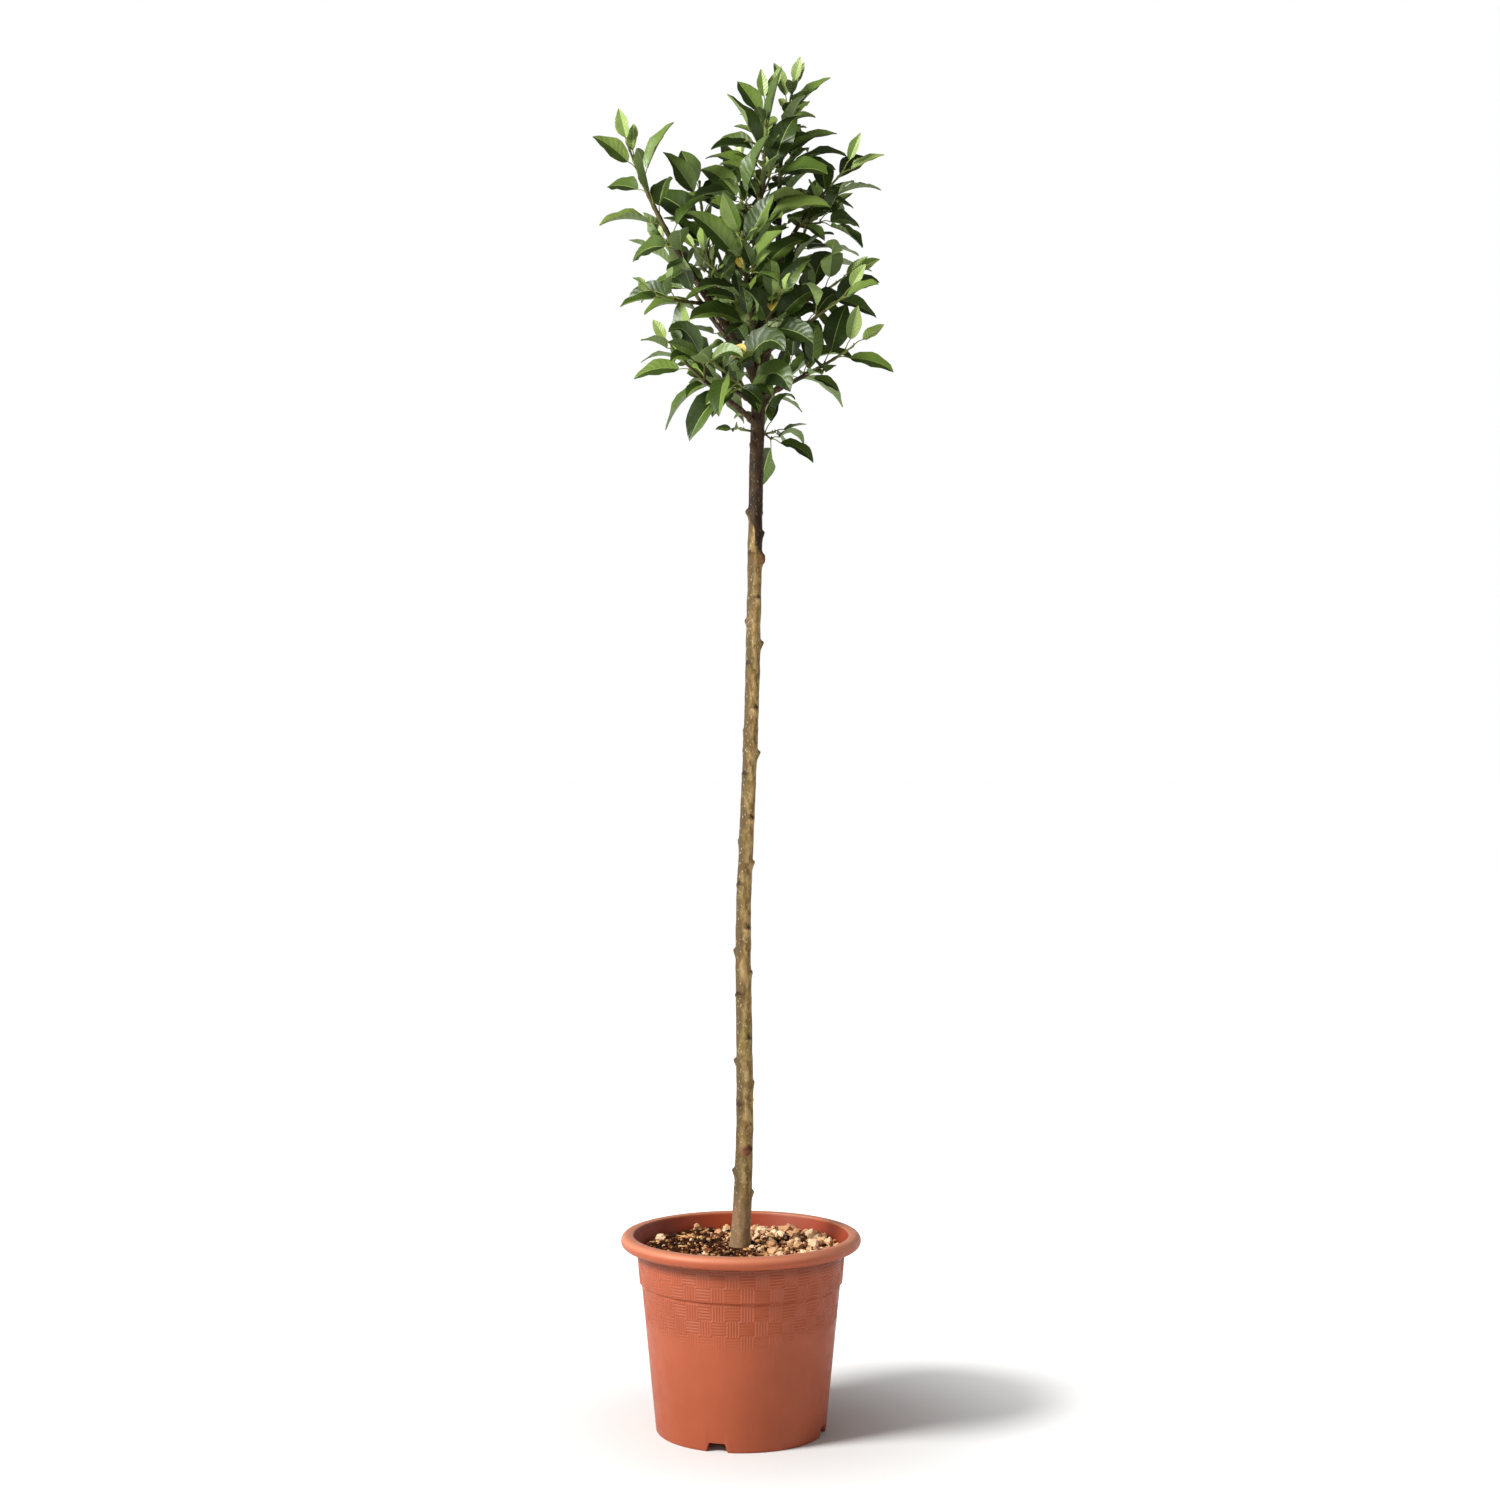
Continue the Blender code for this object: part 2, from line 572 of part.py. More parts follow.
def grow_mass(name, start, limb, line):
    """The leaves and spurs of one mass, from the seeded rule: (leaves, spurs), a spur as (points, radii)."""
    rng = np.random.default_rng(sum(map(ord, name)))
    node = "foliage_" + name
    leaves = []
    spurs = []
    first = (start or IN_TRUNK) + FIRST_LEAF
    joints = np.arange(first, limb.length, LEAF_GAP)[: limb.most]
    joints = np.append(joints, limb.length - 0.001)

    def add(root, way, turn, pitch, size, stalk, droop):
        state = rng.bit_generator.state
        for scale, tried in ((scale, tried) for scale in SIZES_TRIED for tried in TURNS_TRIED):
            rng.bit_generator.state = state
            leaf = make_leaf(root, way, turn + math.radians(tried), pitch, scale * size, stalk, droop, rng)
            samples = leaf_samples(leaf)
            if SPACE.is_free(node, samples):
                SPACE.take(node, samples, ROOM, True)
                leaves.append(leaf)
                return

    for number, distance in enumerate(joints):
        share = (distance - start) / (limb.length - start)
        root = place_on(line, limb.length, distance)
        way = way_on(line, limb.length, distance)
        turn = math.radians(limb.phase) + number * LEAF_TURN
        pitch = math.radians(np.interp(share, (0, 0.6, 0.93, 1), (74, 60, 34, 10)) + rng.uniform(-8, 8))
        size = limb.big * np.interp(share, (0, 0.3, 0.7, 0.93, 1), (0.86, 1.06, 0.92, 0.62, 0.42))
        droop = limb.droop * np.interp(share, (0, 0.6, 1), (1.25, 0.8, 0.2))
        stalk = STALK_LENGTH * (0.45 + 0.55 * size) * (1 if share < 1 else 0.4)
        holds_spur = rng.random() < SPUR_SHARE and share < SPUR_ZONE and limb.length > 0.1
        if not holds_spur:
            add(root, way, turn, pitch, size, stalk, droop)
            continue
        side, other = cross_frame(way)
        spur_way = unit(way + 1.4 * (math.cos(turn) * side + math.sin(turn) * other) + 0.2 * UP)
        length = SPUR_LENGTH * rng.uniform(0.7, 1.3)
        spur = root + np.linspace(0, length, 3)[:, None] * spur_way
        if not SPACE.is_free(node, spur[1:]):
            continue
        SPACE.take(node, spur[1:], ROOM)
        spurs.append((spur, np.array((SPUR_RADIUS, 0.9 * SPUR_RADIUS, 0.75 * SPUR_RADIUS))))
        for leaf_number in range(SPUR_LEAVES):
            leaf_turn = turn + leaf_number * 2 * math.pi / SPUR_LEAVES
            root = spur[-1] - 2 * STALK_RADIUS * spur_way
            add(root, spur_way, leaf_turn, math.radians(52), 0.8 * size, 0.8 * stalk, droop)
    return leaves, spurs


def make_mass(name):
    """One mass: its stem, spurs and leaves joined into a single solid, clear of what it grows from."""
    is_top = name == "top"
    limb = TOP if is_top else LIMBS[name]
    line = TRUNK if is_top else LINES[name]
    start = TRUNK_LENGTH if is_top else limb.bough
    leaves, spurs = grow_mass(name, start, limb, line)
    distances = spread(start + GAP if start else SOCKET, limb.length, STEM_RING)
    if not start:
        distances = np.append(0, distances)
    radii = trunk_radius(TRUNK_FOOT[2] + distances) if is_top else limb_radius(limb, distances)
    radii = radii * np.where(distances == 0, 0.5, 1.0)
    rings = tube_rings(line, limb.length, distances, radii, STEM_SIDES)
    stem = stack("foliage_" + name, rings, "foliage")
    if not start:
        boolean(stem, "DIFFERENCE", [fat_parent(name)])
    joined = [leaf_solid(leaf) for leaf in leaves]
    for points, radii in spurs:
        length = float(np.linalg.norm(points[-1] - points[0]))
        rings = tube_rings(points, length, np.linspace(0, length, 3), radii, 4)
        joined.append(stack("spur", rings, "foliage"))
    boolean(stem, "UNION", joined)
    smooth(stem, 40)


def make_bough(name):
    bough = stack("bough_" + name, bough_rings(name, 0.0), "bough")
    boolean(bough, "DIFFERENCE", [fat_parent(name)])
    smooth(bough, 50)


for old in list(bpy.data.objects):
    bpy.data.objects.remove(old)

TRUNK = grow_line(TRUNK_FOOT, TRUNK_LINE, (0, 0), [90 - lean for lean in TRUNK_LEAN])
TOP = Limb("trunk", 0.0, TRUNK_LINE, TRUNK_LENGTH, TRUNK_RADII[-2], (0,), (90,), 250, 1.15, 0.7)
LINES = {}
for limb_name, shoot in LIMBS.items():
    if shoot.parent == "trunk":
        base = place_on(TRUNK, TRUNK_LINE, shoot.at)
    else:
        base = place_on(LINES[shoot.parent], LIMBS[shoot.parent].length, shoot.at)
    LINES[limb_name] = grow_line(base, shoot.length, shoot.headings, shoot.climbs)

CROWN_MIDDLE = place_on(TRUNK, TRUNK_LINE, 1.20)
SPACE = Space()
trunk_steps = spread(0, TRUNK_LENGTH, SAMPLE_STEP)
SPACE.take(
    "trunk",
    place_on(TRUNK, TRUNK_LINE, trunk_steps),
    trunk_radius(TRUNK_FOOT[2] + trunk_steps) + LIMB_ROOM,
)
top_steps = spread(TRUNK_LENGTH + SAMPLE_STEP / 2, TRUNK_LINE, SAMPLE_STEP)
SPACE.take("foliage_top", place_on(TRUNK, TRUNK_LINE, top_steps), ROOM)
for limb_name, shoot in LIMBS.items():
    steps = spread(SAMPLE_STEP, shoot.length, SAMPLE_STEP)
    where = place_on(LINES[limb_name], shoot.length, steps)
    wide = limb_radius(shoot, steps) + LIMB_ROOM
    on_bough = steps < shoot.bough
    SPACE.take("bough_" + limb_name, where[on_bough], wide[on_bough])
    SPACE.take("foliage_" + limb_name, where[~on_bough], wide[~on_bough])

make_pot()
make_soil()
smooth(stack("trunk", trunk_rings(0.0), "trunk"), 50)
for limb_name, shoot in LIMBS.items():
    if shoot.bough:
        make_bough(limb_name)
for limb_name in ("top", *LIMBS):
    make_mass(limb_name)
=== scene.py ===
"""A young apple tree in a round nursery pot: its finished look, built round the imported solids.

The sections follow the plant as it is put together: pot, soil, trunk, boughs, then twigs and leaves,
which grow by the same seeded rule as the solids that they replace and are carried on to finer ones.
Metres, +Z up, the front towards -Y. Colours are written as the eye sees them, from 0 to 255.
"""

import json
import math
from dataclasses import dataclass, replace

import bpy
import numpy as np
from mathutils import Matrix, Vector

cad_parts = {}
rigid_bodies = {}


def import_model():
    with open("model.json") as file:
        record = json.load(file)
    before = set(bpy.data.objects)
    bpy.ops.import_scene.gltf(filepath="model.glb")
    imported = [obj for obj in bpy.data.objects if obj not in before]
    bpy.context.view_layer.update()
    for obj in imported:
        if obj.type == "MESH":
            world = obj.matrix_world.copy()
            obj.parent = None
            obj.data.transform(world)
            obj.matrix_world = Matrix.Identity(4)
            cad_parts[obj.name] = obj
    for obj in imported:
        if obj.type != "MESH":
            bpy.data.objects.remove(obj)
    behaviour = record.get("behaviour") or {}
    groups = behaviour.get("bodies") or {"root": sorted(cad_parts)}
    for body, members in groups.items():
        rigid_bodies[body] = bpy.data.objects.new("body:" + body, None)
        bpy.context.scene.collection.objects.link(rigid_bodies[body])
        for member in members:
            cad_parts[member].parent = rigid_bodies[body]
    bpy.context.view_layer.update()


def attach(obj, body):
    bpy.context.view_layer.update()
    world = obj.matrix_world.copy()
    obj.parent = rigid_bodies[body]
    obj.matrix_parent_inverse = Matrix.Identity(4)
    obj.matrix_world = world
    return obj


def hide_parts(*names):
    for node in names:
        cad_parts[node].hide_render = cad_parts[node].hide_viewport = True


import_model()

# The camera stands level, 3.1 m in front of the trunk and as high as the middle of the plant, with the
# long lens that the photograph's flat perspective asks for.
CAMERA_PLACE = (0.012, -3.13, 0.905)
LENS = 56.3  # millimetres
camera = bpy.data.objects.new("camera", bpy.data.cameras.new("camera"))
camera.data.lens = LENS
camera.location = CAMERA_PLACE
camera.rotation_euler = (math.pi / 2, 0.0, 0.0)
bpy.context.scene.collection.objects.link(camera)
bpy.context.scene.camera = camera
bpy.context.scene.view_settings.view_transform = "Standard"


# Floor and light. The plant stands on a pale floor in a studio, with a white band of backdrop all round
# and one large soft lamp high on the left in front.
FLOOR_SIZE = 60.0
FLOOR_COLOURS = ((236, 236, 234), (232, 232, 230))
FLOOR_CLOUDS = 0.4  # the size of its faint clouds of colour
FLOOR_GLOW = (0.0, 0.80)  # the floor is lit from below, not at the plant and more far off
GLOW_REACH = (0.08, 0.75)  # how far from the middle it starts, and is full
BAND_LIGHT = 1.0  # how bright the backdrop is at eye level
DOME_LIGHT = 0.10  # the same overhead
BAND_EDGE = (0.33, 0.42)  # where it fades, as the sine of the height over the horizon
LAMP_PLACE = (-2.9, -1.6, 2.7)
LAMP_AIM = (0.0, 0.0, 1.0)
LAMP_WIDTH = 1.3
LAMP_WATTS = 248.0


def paint(colour):
    """The linear colour that Blender's sockets take, from one written as the eye sees it."""
    share = np.array(colour) / 255
    linear = np.where(share <= 0.04045, share / 12.92, ((share + 0.055) / 1.055) ** 2.4)
    return (*linear.tolist(), 1.0)


def new_finish(name, roughness, specular=0.5):
    """A node material: the material, its nodes' tree and its shader, with the plain numbers set."""
    finish = bpy.data.materials.new(name)
    finish.use_nodes = True
    shader = finish.node_tree.nodes["Principled BSDF"]
    shader.inputs["Roughness"].default_value = roughness
    shader.inputs["Specular IOR Level"].default_value = specular
    return finish, finish.node_tree, shader


def plug(tree, socket, value):
    """Links a socket to another one, or sets it where the value is a plain one."""
    if isinstance(value, bpy.types.NodeSocket):
        tree.links.new(value, socket)
    else:
        socket.default_value = value


def ramp(tree, value, start, end, low=0.0, high=1.0):
    """A smooth step from low to high while a value goes from start to end."""
    node = tree.nodes.new("ShaderNodeMapRange")
    node.interpolation_type = "SMOOTHSTEP"
    for socket, number in zip(node.inputs, (value, start, end, low, high)):
        plug(tree, socket, number)
    return node.outputs[0]


def mixed(tree, share, first, second):
    """The first colour, turning to the second as the share goes from 0 to 1."""
    node = tree.nodes.new("ShaderNodeMix")
    node.data_type = "RGBA"
    plug(tree, node.inputs["Factor"], share)
    for socket, colour in ((node.inputs["A"], first), (node.inputs["B"], second)):
        plug(tree, socket, colour if isinstance(colour, bpy.types.NodeSocket) else paint(colour))
    return node.outputs["Result"]


def noise(tree, size, detail=3.0, stretch=(1, 1, 1)):
    """Noise from 0 to 1 with lumps of this size in metres, stretched by a factor along each axis."""
    place = tree.nodes.new("ShaderNodeTexCoord").outputs["Object"]
    scaled = tree.nodes.new("ShaderNodeMapping")
    scaled.inputs["Scale"].default_value = [1 / (size * factor) for factor in stretch]
    tree.links.new(place, scaled.inputs["Vector"])
    node = tree.nodes.new("ShaderNodeTexNoise")
    node.inputs["Scale"].default_value = 1.0
    node.inputs["Detail"].default_value = detail
    tree.links.new(scaled.outputs[0], node.inputs["Vector"])
    return node.outputs["Fac"]


floor_finish, tree, shader = new_finish("pale_floor", 0.9, 0.2)
floor_tone = mixed(tree, noise(tree, FLOOR_CLOUDS), *FLOOR_COLOURS)
tree.links.new(floor_tone, shader.inputs["Base Color"])
reach = tree.nodes.new("ShaderNodeVectorMath")
reach.operation = "LENGTH"
tree.links.new(tree.nodes.new("ShaderNodeTexCoord").outputs["Object"], reach.inputs[0])
shader.inputs["Emission Color"].default_value = (1.0, 1.0, 1.0, 1.0)
glow = ramp(tree, reach.outputs["Value"], *GLOW_REACH, *FLOOR_GLOW)
tree.links.new(glow, shader.inputs["Emission Strength"])
floor_mesh = bpy.data.meshes.new("floor")
corners = [(x * FLOOR_SIZE, y * FLOOR_SIZE, 0.0) for x, y in ((-1, -1), (1, -1), (1, 1), (-1, 1))]
floor_mesh.from_pydata(corners, [], [(0, 1, 2, 3)])
floor_mesh.materials.append(floor_finish)
floor = bpy.data.objects.new("floor", floor_mesh)
bpy.context.scene.collection.objects.link(floor)

lamp_data = bpy.data.lights.new("soft_lamp", "AREA")
lamp_data.shape = "DISK"
lamp_data.size = LAMP_WIDTH
lamp_data.energy = LAMP_WATTS
lamp = bpy.data.objects.new("soft_lamp", lamp_data)
lamp.location = LAMP_PLACE
lamp.rotation_euler = (Vector(LAMP_AIM) - Vector(LAMP_PLACE)).to_track_quat("-Z", "Y").to_euler()
bpy.context.scene.collection.objects.link(lamp)

world = bpy.data.worlds.new("studio")
world.use_nodes = True
bpy.context.scene.world = world
tree = world.node_tree
direction = tree.nodes.new("ShaderNodeTexCoord").outputs["Generated"]
split = tree.nodes.new("ShaderNodeSeparateXYZ")
tree.links.new(direction, split.inputs[0])
glow = ramp(tree, split.outputs["Z"], *BAND_EDGE, BAND_LIGHT, DOME_LIGHT)
tree.links.new(glow, tree.nodes["Background"].inputs["Strength"])
tree.nodes["Background"].inputs["Color"].default_value = (1.0, 1.0, 1.0, 1.0)


# Pot. A stiff nursery pot moulded from one thin wall of terracotta-coloured plastic: a rolled rim, a band
# and a wall with a shallow basket-weave relief, a plain foot with four drainage notches, a raised floor.
RIM_RADIUS = 0.160
RIM_TUBE = 0.0085
RIM_HEIGHT = 0.2523
RIM_ARC = (-130, 84)  # degrees round the rim's tube
RIM_ROWS = 30
# the lip's level top and inner edge: how far in from the rim's outside, and how far over its middle
LIP = ((0.0128, 0.0084), (0.0158, 0.0078), (0.0170, 0.0060), (0.0172, 0.0046))
BAND_RADII = (0.1353, 0.1393)
BAND_HEIGHTS = (0.1980, 0.2440)
STEP_RADIUS = 0.1327
STEP_FOOT = 0.1960
STEP_GROOVE = 0.0010  # a fine groove runs under the band
BASE_RADIUS = 0.1130
WALL = 0.0030
FLOOR = 0.0120
WELL = (0.0700, 0.0740)
SKIRT_RADIUS = 0.1090
NOTCH_TURN = math.radians(-106)
NOTCH_WIDTH = 0.0280
NOTCH_TAPER = 0.0036
NOTCH_HEIGHT = 0.0112
NOTCH_FADE = 0.030  # the wall's rows are squeezed up to this height over a notch
WEAVE_CELLS = 44
RIDGES = 5  # in a cell of the weave, level and upright by turns
WEAVE_FOOT = 0.1350
WEAVE_FADE = 0.0200  # the relief dies out over its lowest 2 cm
WEAVE_ROW = 0.00195  # half a ridge
WEAVE_DEPTH = 0.00026
POT_TONES = ((154, 73, 42), (149, 70, 39))
POT_DUST = (172, 102, 73)
DUST_SHARE = 0.08
RIM_HIGHLIGHT_TONE = (204, 130, 98)  # painted highlight: the rim's upper half is paler
RIM_HIGHLIGHT_SHARE = 0.75
INSIDE_SHADE_TONE = (148, 57, 26)  # painted shade: the inside is darker and redder
RIM_SHADOW_TONE = (87, 38, 21)  # painted shadow: darker just under the rim
RIM_SHADOW_SHARE = 0.55
RIM_SHADOW_REACH = 0.0190
POT_RELIEF = 0.0009


def make_piece(name, points, faces, finishes, nodes, tones=None, uv=None, marks=None, crease=60):
    """One smooth mesh piece that rides with the plant and stands for these nodes of the model.

    faces is a list of whole arrays, of three or four corners each; tones gives every face's finish.
    """
    mesh = bpy.data.meshes.new(name)
    corners = np.concatenate([part.ravel() for part in faces]).astype(np.int32)
    sizes = np.concatenate([np.full(len(part), part.shape[1]) for part in faces])
    mesh.vertices.add(len(points))
    mesh.vertices.foreach_set("co", np.asarray(points, np.float32).ravel())
    mesh.loops.add(len(corners))
    mesh.loops.foreach_set("vertex_index", corners)
    mesh.polygons.add(len(sizes))
    mesh.polygons.foreach_set("loop_start", np.cumsum(sizes, dtype=np.int32) - sizes.astype(np.int32))
    if tones is not None:
        mesh.polygons.foreach_set("material_index", np.asarray(tones, np.int32))
    mesh.update(calc_edges=True)
    if uv is not None:
        layer = mesh.uv_layers.new(name="along_the_leaf")
        layer.data.foreach_set("uv", np.asarray(uv, np.float32)[corners].ravel())
    for mark, values in (marks or {}).items():
        attribute = mesh.attributes.new(mark, "FLOAT", "POINT")
        attribute.data.foreach_set("value", np.asarray(values, np.float32).ravel())
    for finish in finishes:
        mesh.materials.append(finish)
    mesh.shade_smooth()
    mesh.set_sharp_from_angle(angle=math.radians(crease))
    piece = bpy.data.objects.new(name, mesh)
    bpy.context.scene.collection.objects.link(piece)
    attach(piece, "root")
    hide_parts(*nodes)
    return piece


def round_faces(rows, columns):
    """The faces of a turned skin: rows of points one over the other, each closed on itself."""
    low = np.arange(rows - 1)[:, None] * columns
    here = np.arange(columns)[None]
    following = (here + 1) % columns
    quads = [low + here, low + following, low + columns + following, low + columns + here]
    return np.stack(quads, axis=-1).reshape(-1, 4)


def closed_faces(rows, columns, upper=0):
    """The same, closed by a fan at each end: the poles follow the rows, the upper one as number 0 or 1."""
    here = np.arange(columns)
    following = (here + 1) % columns
    last = (rows - 1) * columns
    above = np.stack([last + here, last + following, np.full(columns, rows * columns + upper)], axis=-1)
    below = np.stack([following, here, np.full(columns, rows * columns + 1 - upper)], axis=-1)
    return [round_faces(rows, columns), above, below]


def attribute_of(tree, name):
    """The value that the mesh holds at each point under this name."""
    node = tree.nodes.new("ShaderNodeAttribute")
    node.attribute_name = name
    return node.outputs["Fac"]


def maths(tree, operation, *values):
    """One step of arithmetic between sockets and numbers."""
    node = tree.nodes.new("ShaderNodeMath")
    node.operation = operation
    for socket, value in zip(node.inputs, values):
        plug(tree, socket, value)
    return node.outputs[0]


def bumped(tree, shader, height, depth):
    """Relief in the shading: the height from 0 to 1 stands for this depth in metres."""
    node = tree.nodes.new("ShaderNodeBump")
    node.inputs["Strength"].default_value = 1.0
    node.inputs["Distance"].default_value = depth
    tree.links.new(height, node.inputs["Height"])
    tree.links.new(node.outputs[0], shader.inputs["Normal"])


def wall_radius(height):
    """The outer wall's radius, growing evenly from the foot to the step under the band."""
    return BASE_RADIUS + (STEP_RADIUS - BASE_RADIUS) * height / BAND_HEIGHTS[0]


weave_columns = 2 * RIDGES * WEAVE_CELLS
foot_rows = (0, 0.0006, 0.0015, 0.004, 0.008, 0.013, 0.019, 0.025, 0.032, 0.042, 0.055, 0.07, 0.085)
foot_rows += (0.1, 0.12)
weave_rows = np.arange(WEAVE_FOOT, STEP_FOOT - WEAVE_ROW, WEAVE_ROW)
band_rows = np.arange(BAND_HEIGHTS[0] + 0.0006, BAND_HEIGHTS[1] - WEAVE_ROW / 2, WEAVE_ROW)
rim_turns = np.radians(np.linspace(*RIM_ARC, RIM_ROWS))
rim_middle = RIM_RADIUS - RIM_TUBE
foot_edge = np.array([-0.0015, -0.0005, 0.0])
under = [(0.035, 0.0), (WELL[0], 0.0), (WELL[1], FLOOR), (SKIRT_RADIUS, FLOOR), (SKIRT_RADIUS, 0.0)]
wall = [(wall_radius(h) + e, h) for h, e in zip(foot_rows[:3], foot_edge)]
wall += [(wall_radius(h), h) for h in (*foot_rows[3:], *weave_rows)]
wall += [(wall_radius(STEP_FOOT) - STEP_GROOVE, STEP_FOOT)]
band = [(np.interp(h, BAND_HEIGHTS, BAND_RADII), h) for h in (BAND_HEIGHTS[0], *band_rows, BAND_HEIGHTS[1])]
rim = [(rim_middle + RIM_TUBE * math.cos(a), RIM_HEIGHT + RIM_TUBE * math.sin(a)) for a in rim_turns]
inside = [(RIM_RADIUS - inwards, RIM_HEIGHT + up) for inwards, up in LIP]
inside += [
    (BAND_RADII[1] - WALL + 0.0008, BAND_HEIGHTS[1] - 0.0010),
    (BAND_RADII[0] - WALL, BAND_HEIGHTS[0]),
    (STEP_RADIUS - WALL, STEP_FOOT - 0.002),
    (wall_radius(FLOOR + WALL) - WALL, FLOOR + WALL),
    (WELL[1] - WALL, FLOOR + WALL),
    (WELL[0] - WALL, WALL),
    (0.030, WALL),
]
profile = np.array(under + wall + band + rim + inside)
turns = np.arange(weave_columns) * 2 * math.pi / weave_columns
radius = np.repeat(profile[:, :1], weave_columns, axis=1)
height = np.repeat(profile[:, 1:], weave_columns, axis=1)

# the notches lift the foot, and the wall's lower rows are squeezed up over them
notch_turn = (turns - NOTCH_TURN + math.pi / 4) % (math.pi / 2) - math.pi / 4
edge_room = NOTCH_WIDTH / 2 - np.abs(notch_turn) * BASE_RADIUS
lift = NOTCH_HEIGHT * np.sin(np.clip(edge_room / NOTCH_TAPER, 0, 1) * math.pi / 2)
skirt = np.arange(len(profile)) >= len(under) - 1
skirt &= np.arange(len(profile)) < len(under) + len(wall)
squeezed = lift + height * (1 - lift / NOTCH_FADE)
height = np.where(skirt[:, None] & (height < NOTCH_FADE), squeezed, height)

# the weave: in cells side by side the ridges run level and upright by turns
first_weave = len(under) + len(foot_rows)
first_band = len(under) + len(wall) + 1
ridge = np.zeros_like(radius)
for first, rows in ((first_weave, len(weave_rows)), (first_band, len(band_rows))):
    row = np.arange(rows)[:, None]
    column = np.arange(weave_columns)[None]
    level = (row // (2 * RIDGES) + column // (2 * RIDGES)) % 2 == 0
    ridge[first : first + rows] = np.where(level, row % 2, column % 2)
fade = np.clip((profile[:, 1:] - WEAVE_FOOT) / WEAVE_FADE, 0.15, 1)
radius -= WEAVE_DEPTH * fade * (1 - ridge) * (ridge.any(axis=1)[:, None])
ridge *= fade

# painted highlight: the rim is paler above its middle. The rows after its inner edge are the inside, with
# painted shade. Painted shadow: the band's upper rows and the rim's lowest are darker under the rim
row = np.arange(len(profile))
first_rim = len(under) + len(wall) + len(band)
rim_highlight = np.clip((height.ravel() - RIM_HEIGHT) / (0.6 * RIM_TUBE), 0, 1)
rim_highlight *= np.repeat((row >= first_rim) & (row < first_rim + len(rim) + 2), weave_columns)
inner = np.repeat(row >= first_rim + len(rim) + 3, weave_columns)
rim_shadow = np.clip(2 - 2 * (BAND_HEIGHTS[1] - height.ravel()) / RIM_SHADOW_REACH, 0, 1)
rim_shadow *= np.repeat((row >= first_band) & (row < first_rim + 5), weave_columns)

pot_points = np.stack([radius * np.cos(turns), radius * np.sin(turns), height], axis=-1).reshape(-1, 3)
pot_faces = closed_faces(len(profile), weave_columns, upper=1)
pot_points = np.vstack([pot_points, [(0, 0, 0), (0, 0, WALL)]])
pot_marks = {"weave": ridge.ravel(), "rim_highlight": rim_highlight, "inner": inner, "rim_shadow": rim_shadow}
pot_marks = {mark: np.append(share, (0, 0)) for mark, share in pot_marks.items()}

pot_finish, tree, shader = new_finish("terracotta_plastic", 0.50, 0.32)
mottled = ramp(tree, noise(tree, 0.05, 4), 0.35, 0.68)
streaks = ramp(tree, noise(tree, 0.012, 3, (1, 1, 9)), 0.55, 0.80, 0.0, DUST_SHARE)
colour = mixed(tree, streaks, mixed(tree, mottled, *POT_TONES), POT_DUST)
# painted highlight: the rim's upper half is mixed towards a paler tone
rim_highlight = maths(tree, "MULTIPLY", attribute_of(tree, "rim_highlight"), RIM_HIGHLIGHT_SHARE)
colour = mixed(tree, rim_highlight, colour, RIM_HIGHLIGHT_TONE)
# painted shadow: the band just under the rim is darker
rim_shadow = maths(tree, "MULTIPLY", attribute_of(tree, "rim_shadow"), RIM_SHADOW_SHARE)
colour = mixed(tree, rim_shadow, colour, RIM_SHADOW_TONE)
# painted shade: the inside is darker and redder
colour = mixed(tree, attribute_of(tree, "inner"), colour, INSIDE_SHADE_TONE)
tree.links.new(colour, shader.inputs["Base Color"])
roughness = ramp(tree, noise(tree, 0.02, 5), 0.3, 0.7, 0.44, 0.58)
tree.links.new(roughness, shader.inputs["Roughness"])
grain = maths(tree, "MULTIPLY", noise(tree, 0.0012, 2), 0.10)
relief = maths(tree, "ADD", maths(tree, "MULTIPLY", attribute_of(tree, "weave"), 0.9), grain)
bumped(tree, shader, relief, POT_RELIEF)
make_piece("nursery_pot", pot_points, pot_faces, [pot_finish], ["pot"], marks=pot_marks, crease=32)


# Soil. A dark potting mix of peat and bark that fills the pot to just under its rim, strewn on the right
# and at the back with pale knobbly pumice and grit, and on the left with flakes and chips of bark.
SOIL_RADIUS = 0.1355
SOIL_TOP = 0.2405
SOIL_DEPTH = 0.0500  # how far down the soil's piece is modelled
SOIL_LUMPS = ((0.0018, 0.045, 3), (0.0010, 0.016, 4), (0.0006, 0.006, 6))  # height, size and seed
MOUND_HEIGHT, MOUND_REACH = 0.0032, 0.035
HOLLOW_DEPTH = 0.003  # where the soil has shrunk from the wall
SOIL_RINGS, SOIL_COLUMNS = 56, 150
STREWN_RADIUS = 0.1350
BARE_RADIUS = 0.022  # nothing lies nearer to the trunk
SOIL_TONES = ((50, 24, 8), (88, 48, 22))
PUMICE_TONES = ((242, 206, 166), (204, 152, 112), (226, 182, 134))
CHIP_TONES = ((210, 160, 106), (114, 66, 34), (50, 26, 11))
CHIP_SHARES = (0.22, 0.33, 0.45)


def waves(points, size, seed, count=14):
    """Smooth random lumps of about this size, from -1 to 1: a sum of plane waves that run every way."""
    rng = np.random.default_rng(seed)
    ways = rng.normal(size=(count, 3))
    ways *= 2 * math.pi / size / np.linalg.norm(ways, axis=1, keepdims=True)
    ways *= rng.uniform(0.6, 1.4, (count, 1))
    return np.sin(points @ ways.T + rng.uniform(0, 2 * math.pi, count)).sum(axis=-1) / math.sqrt(count)


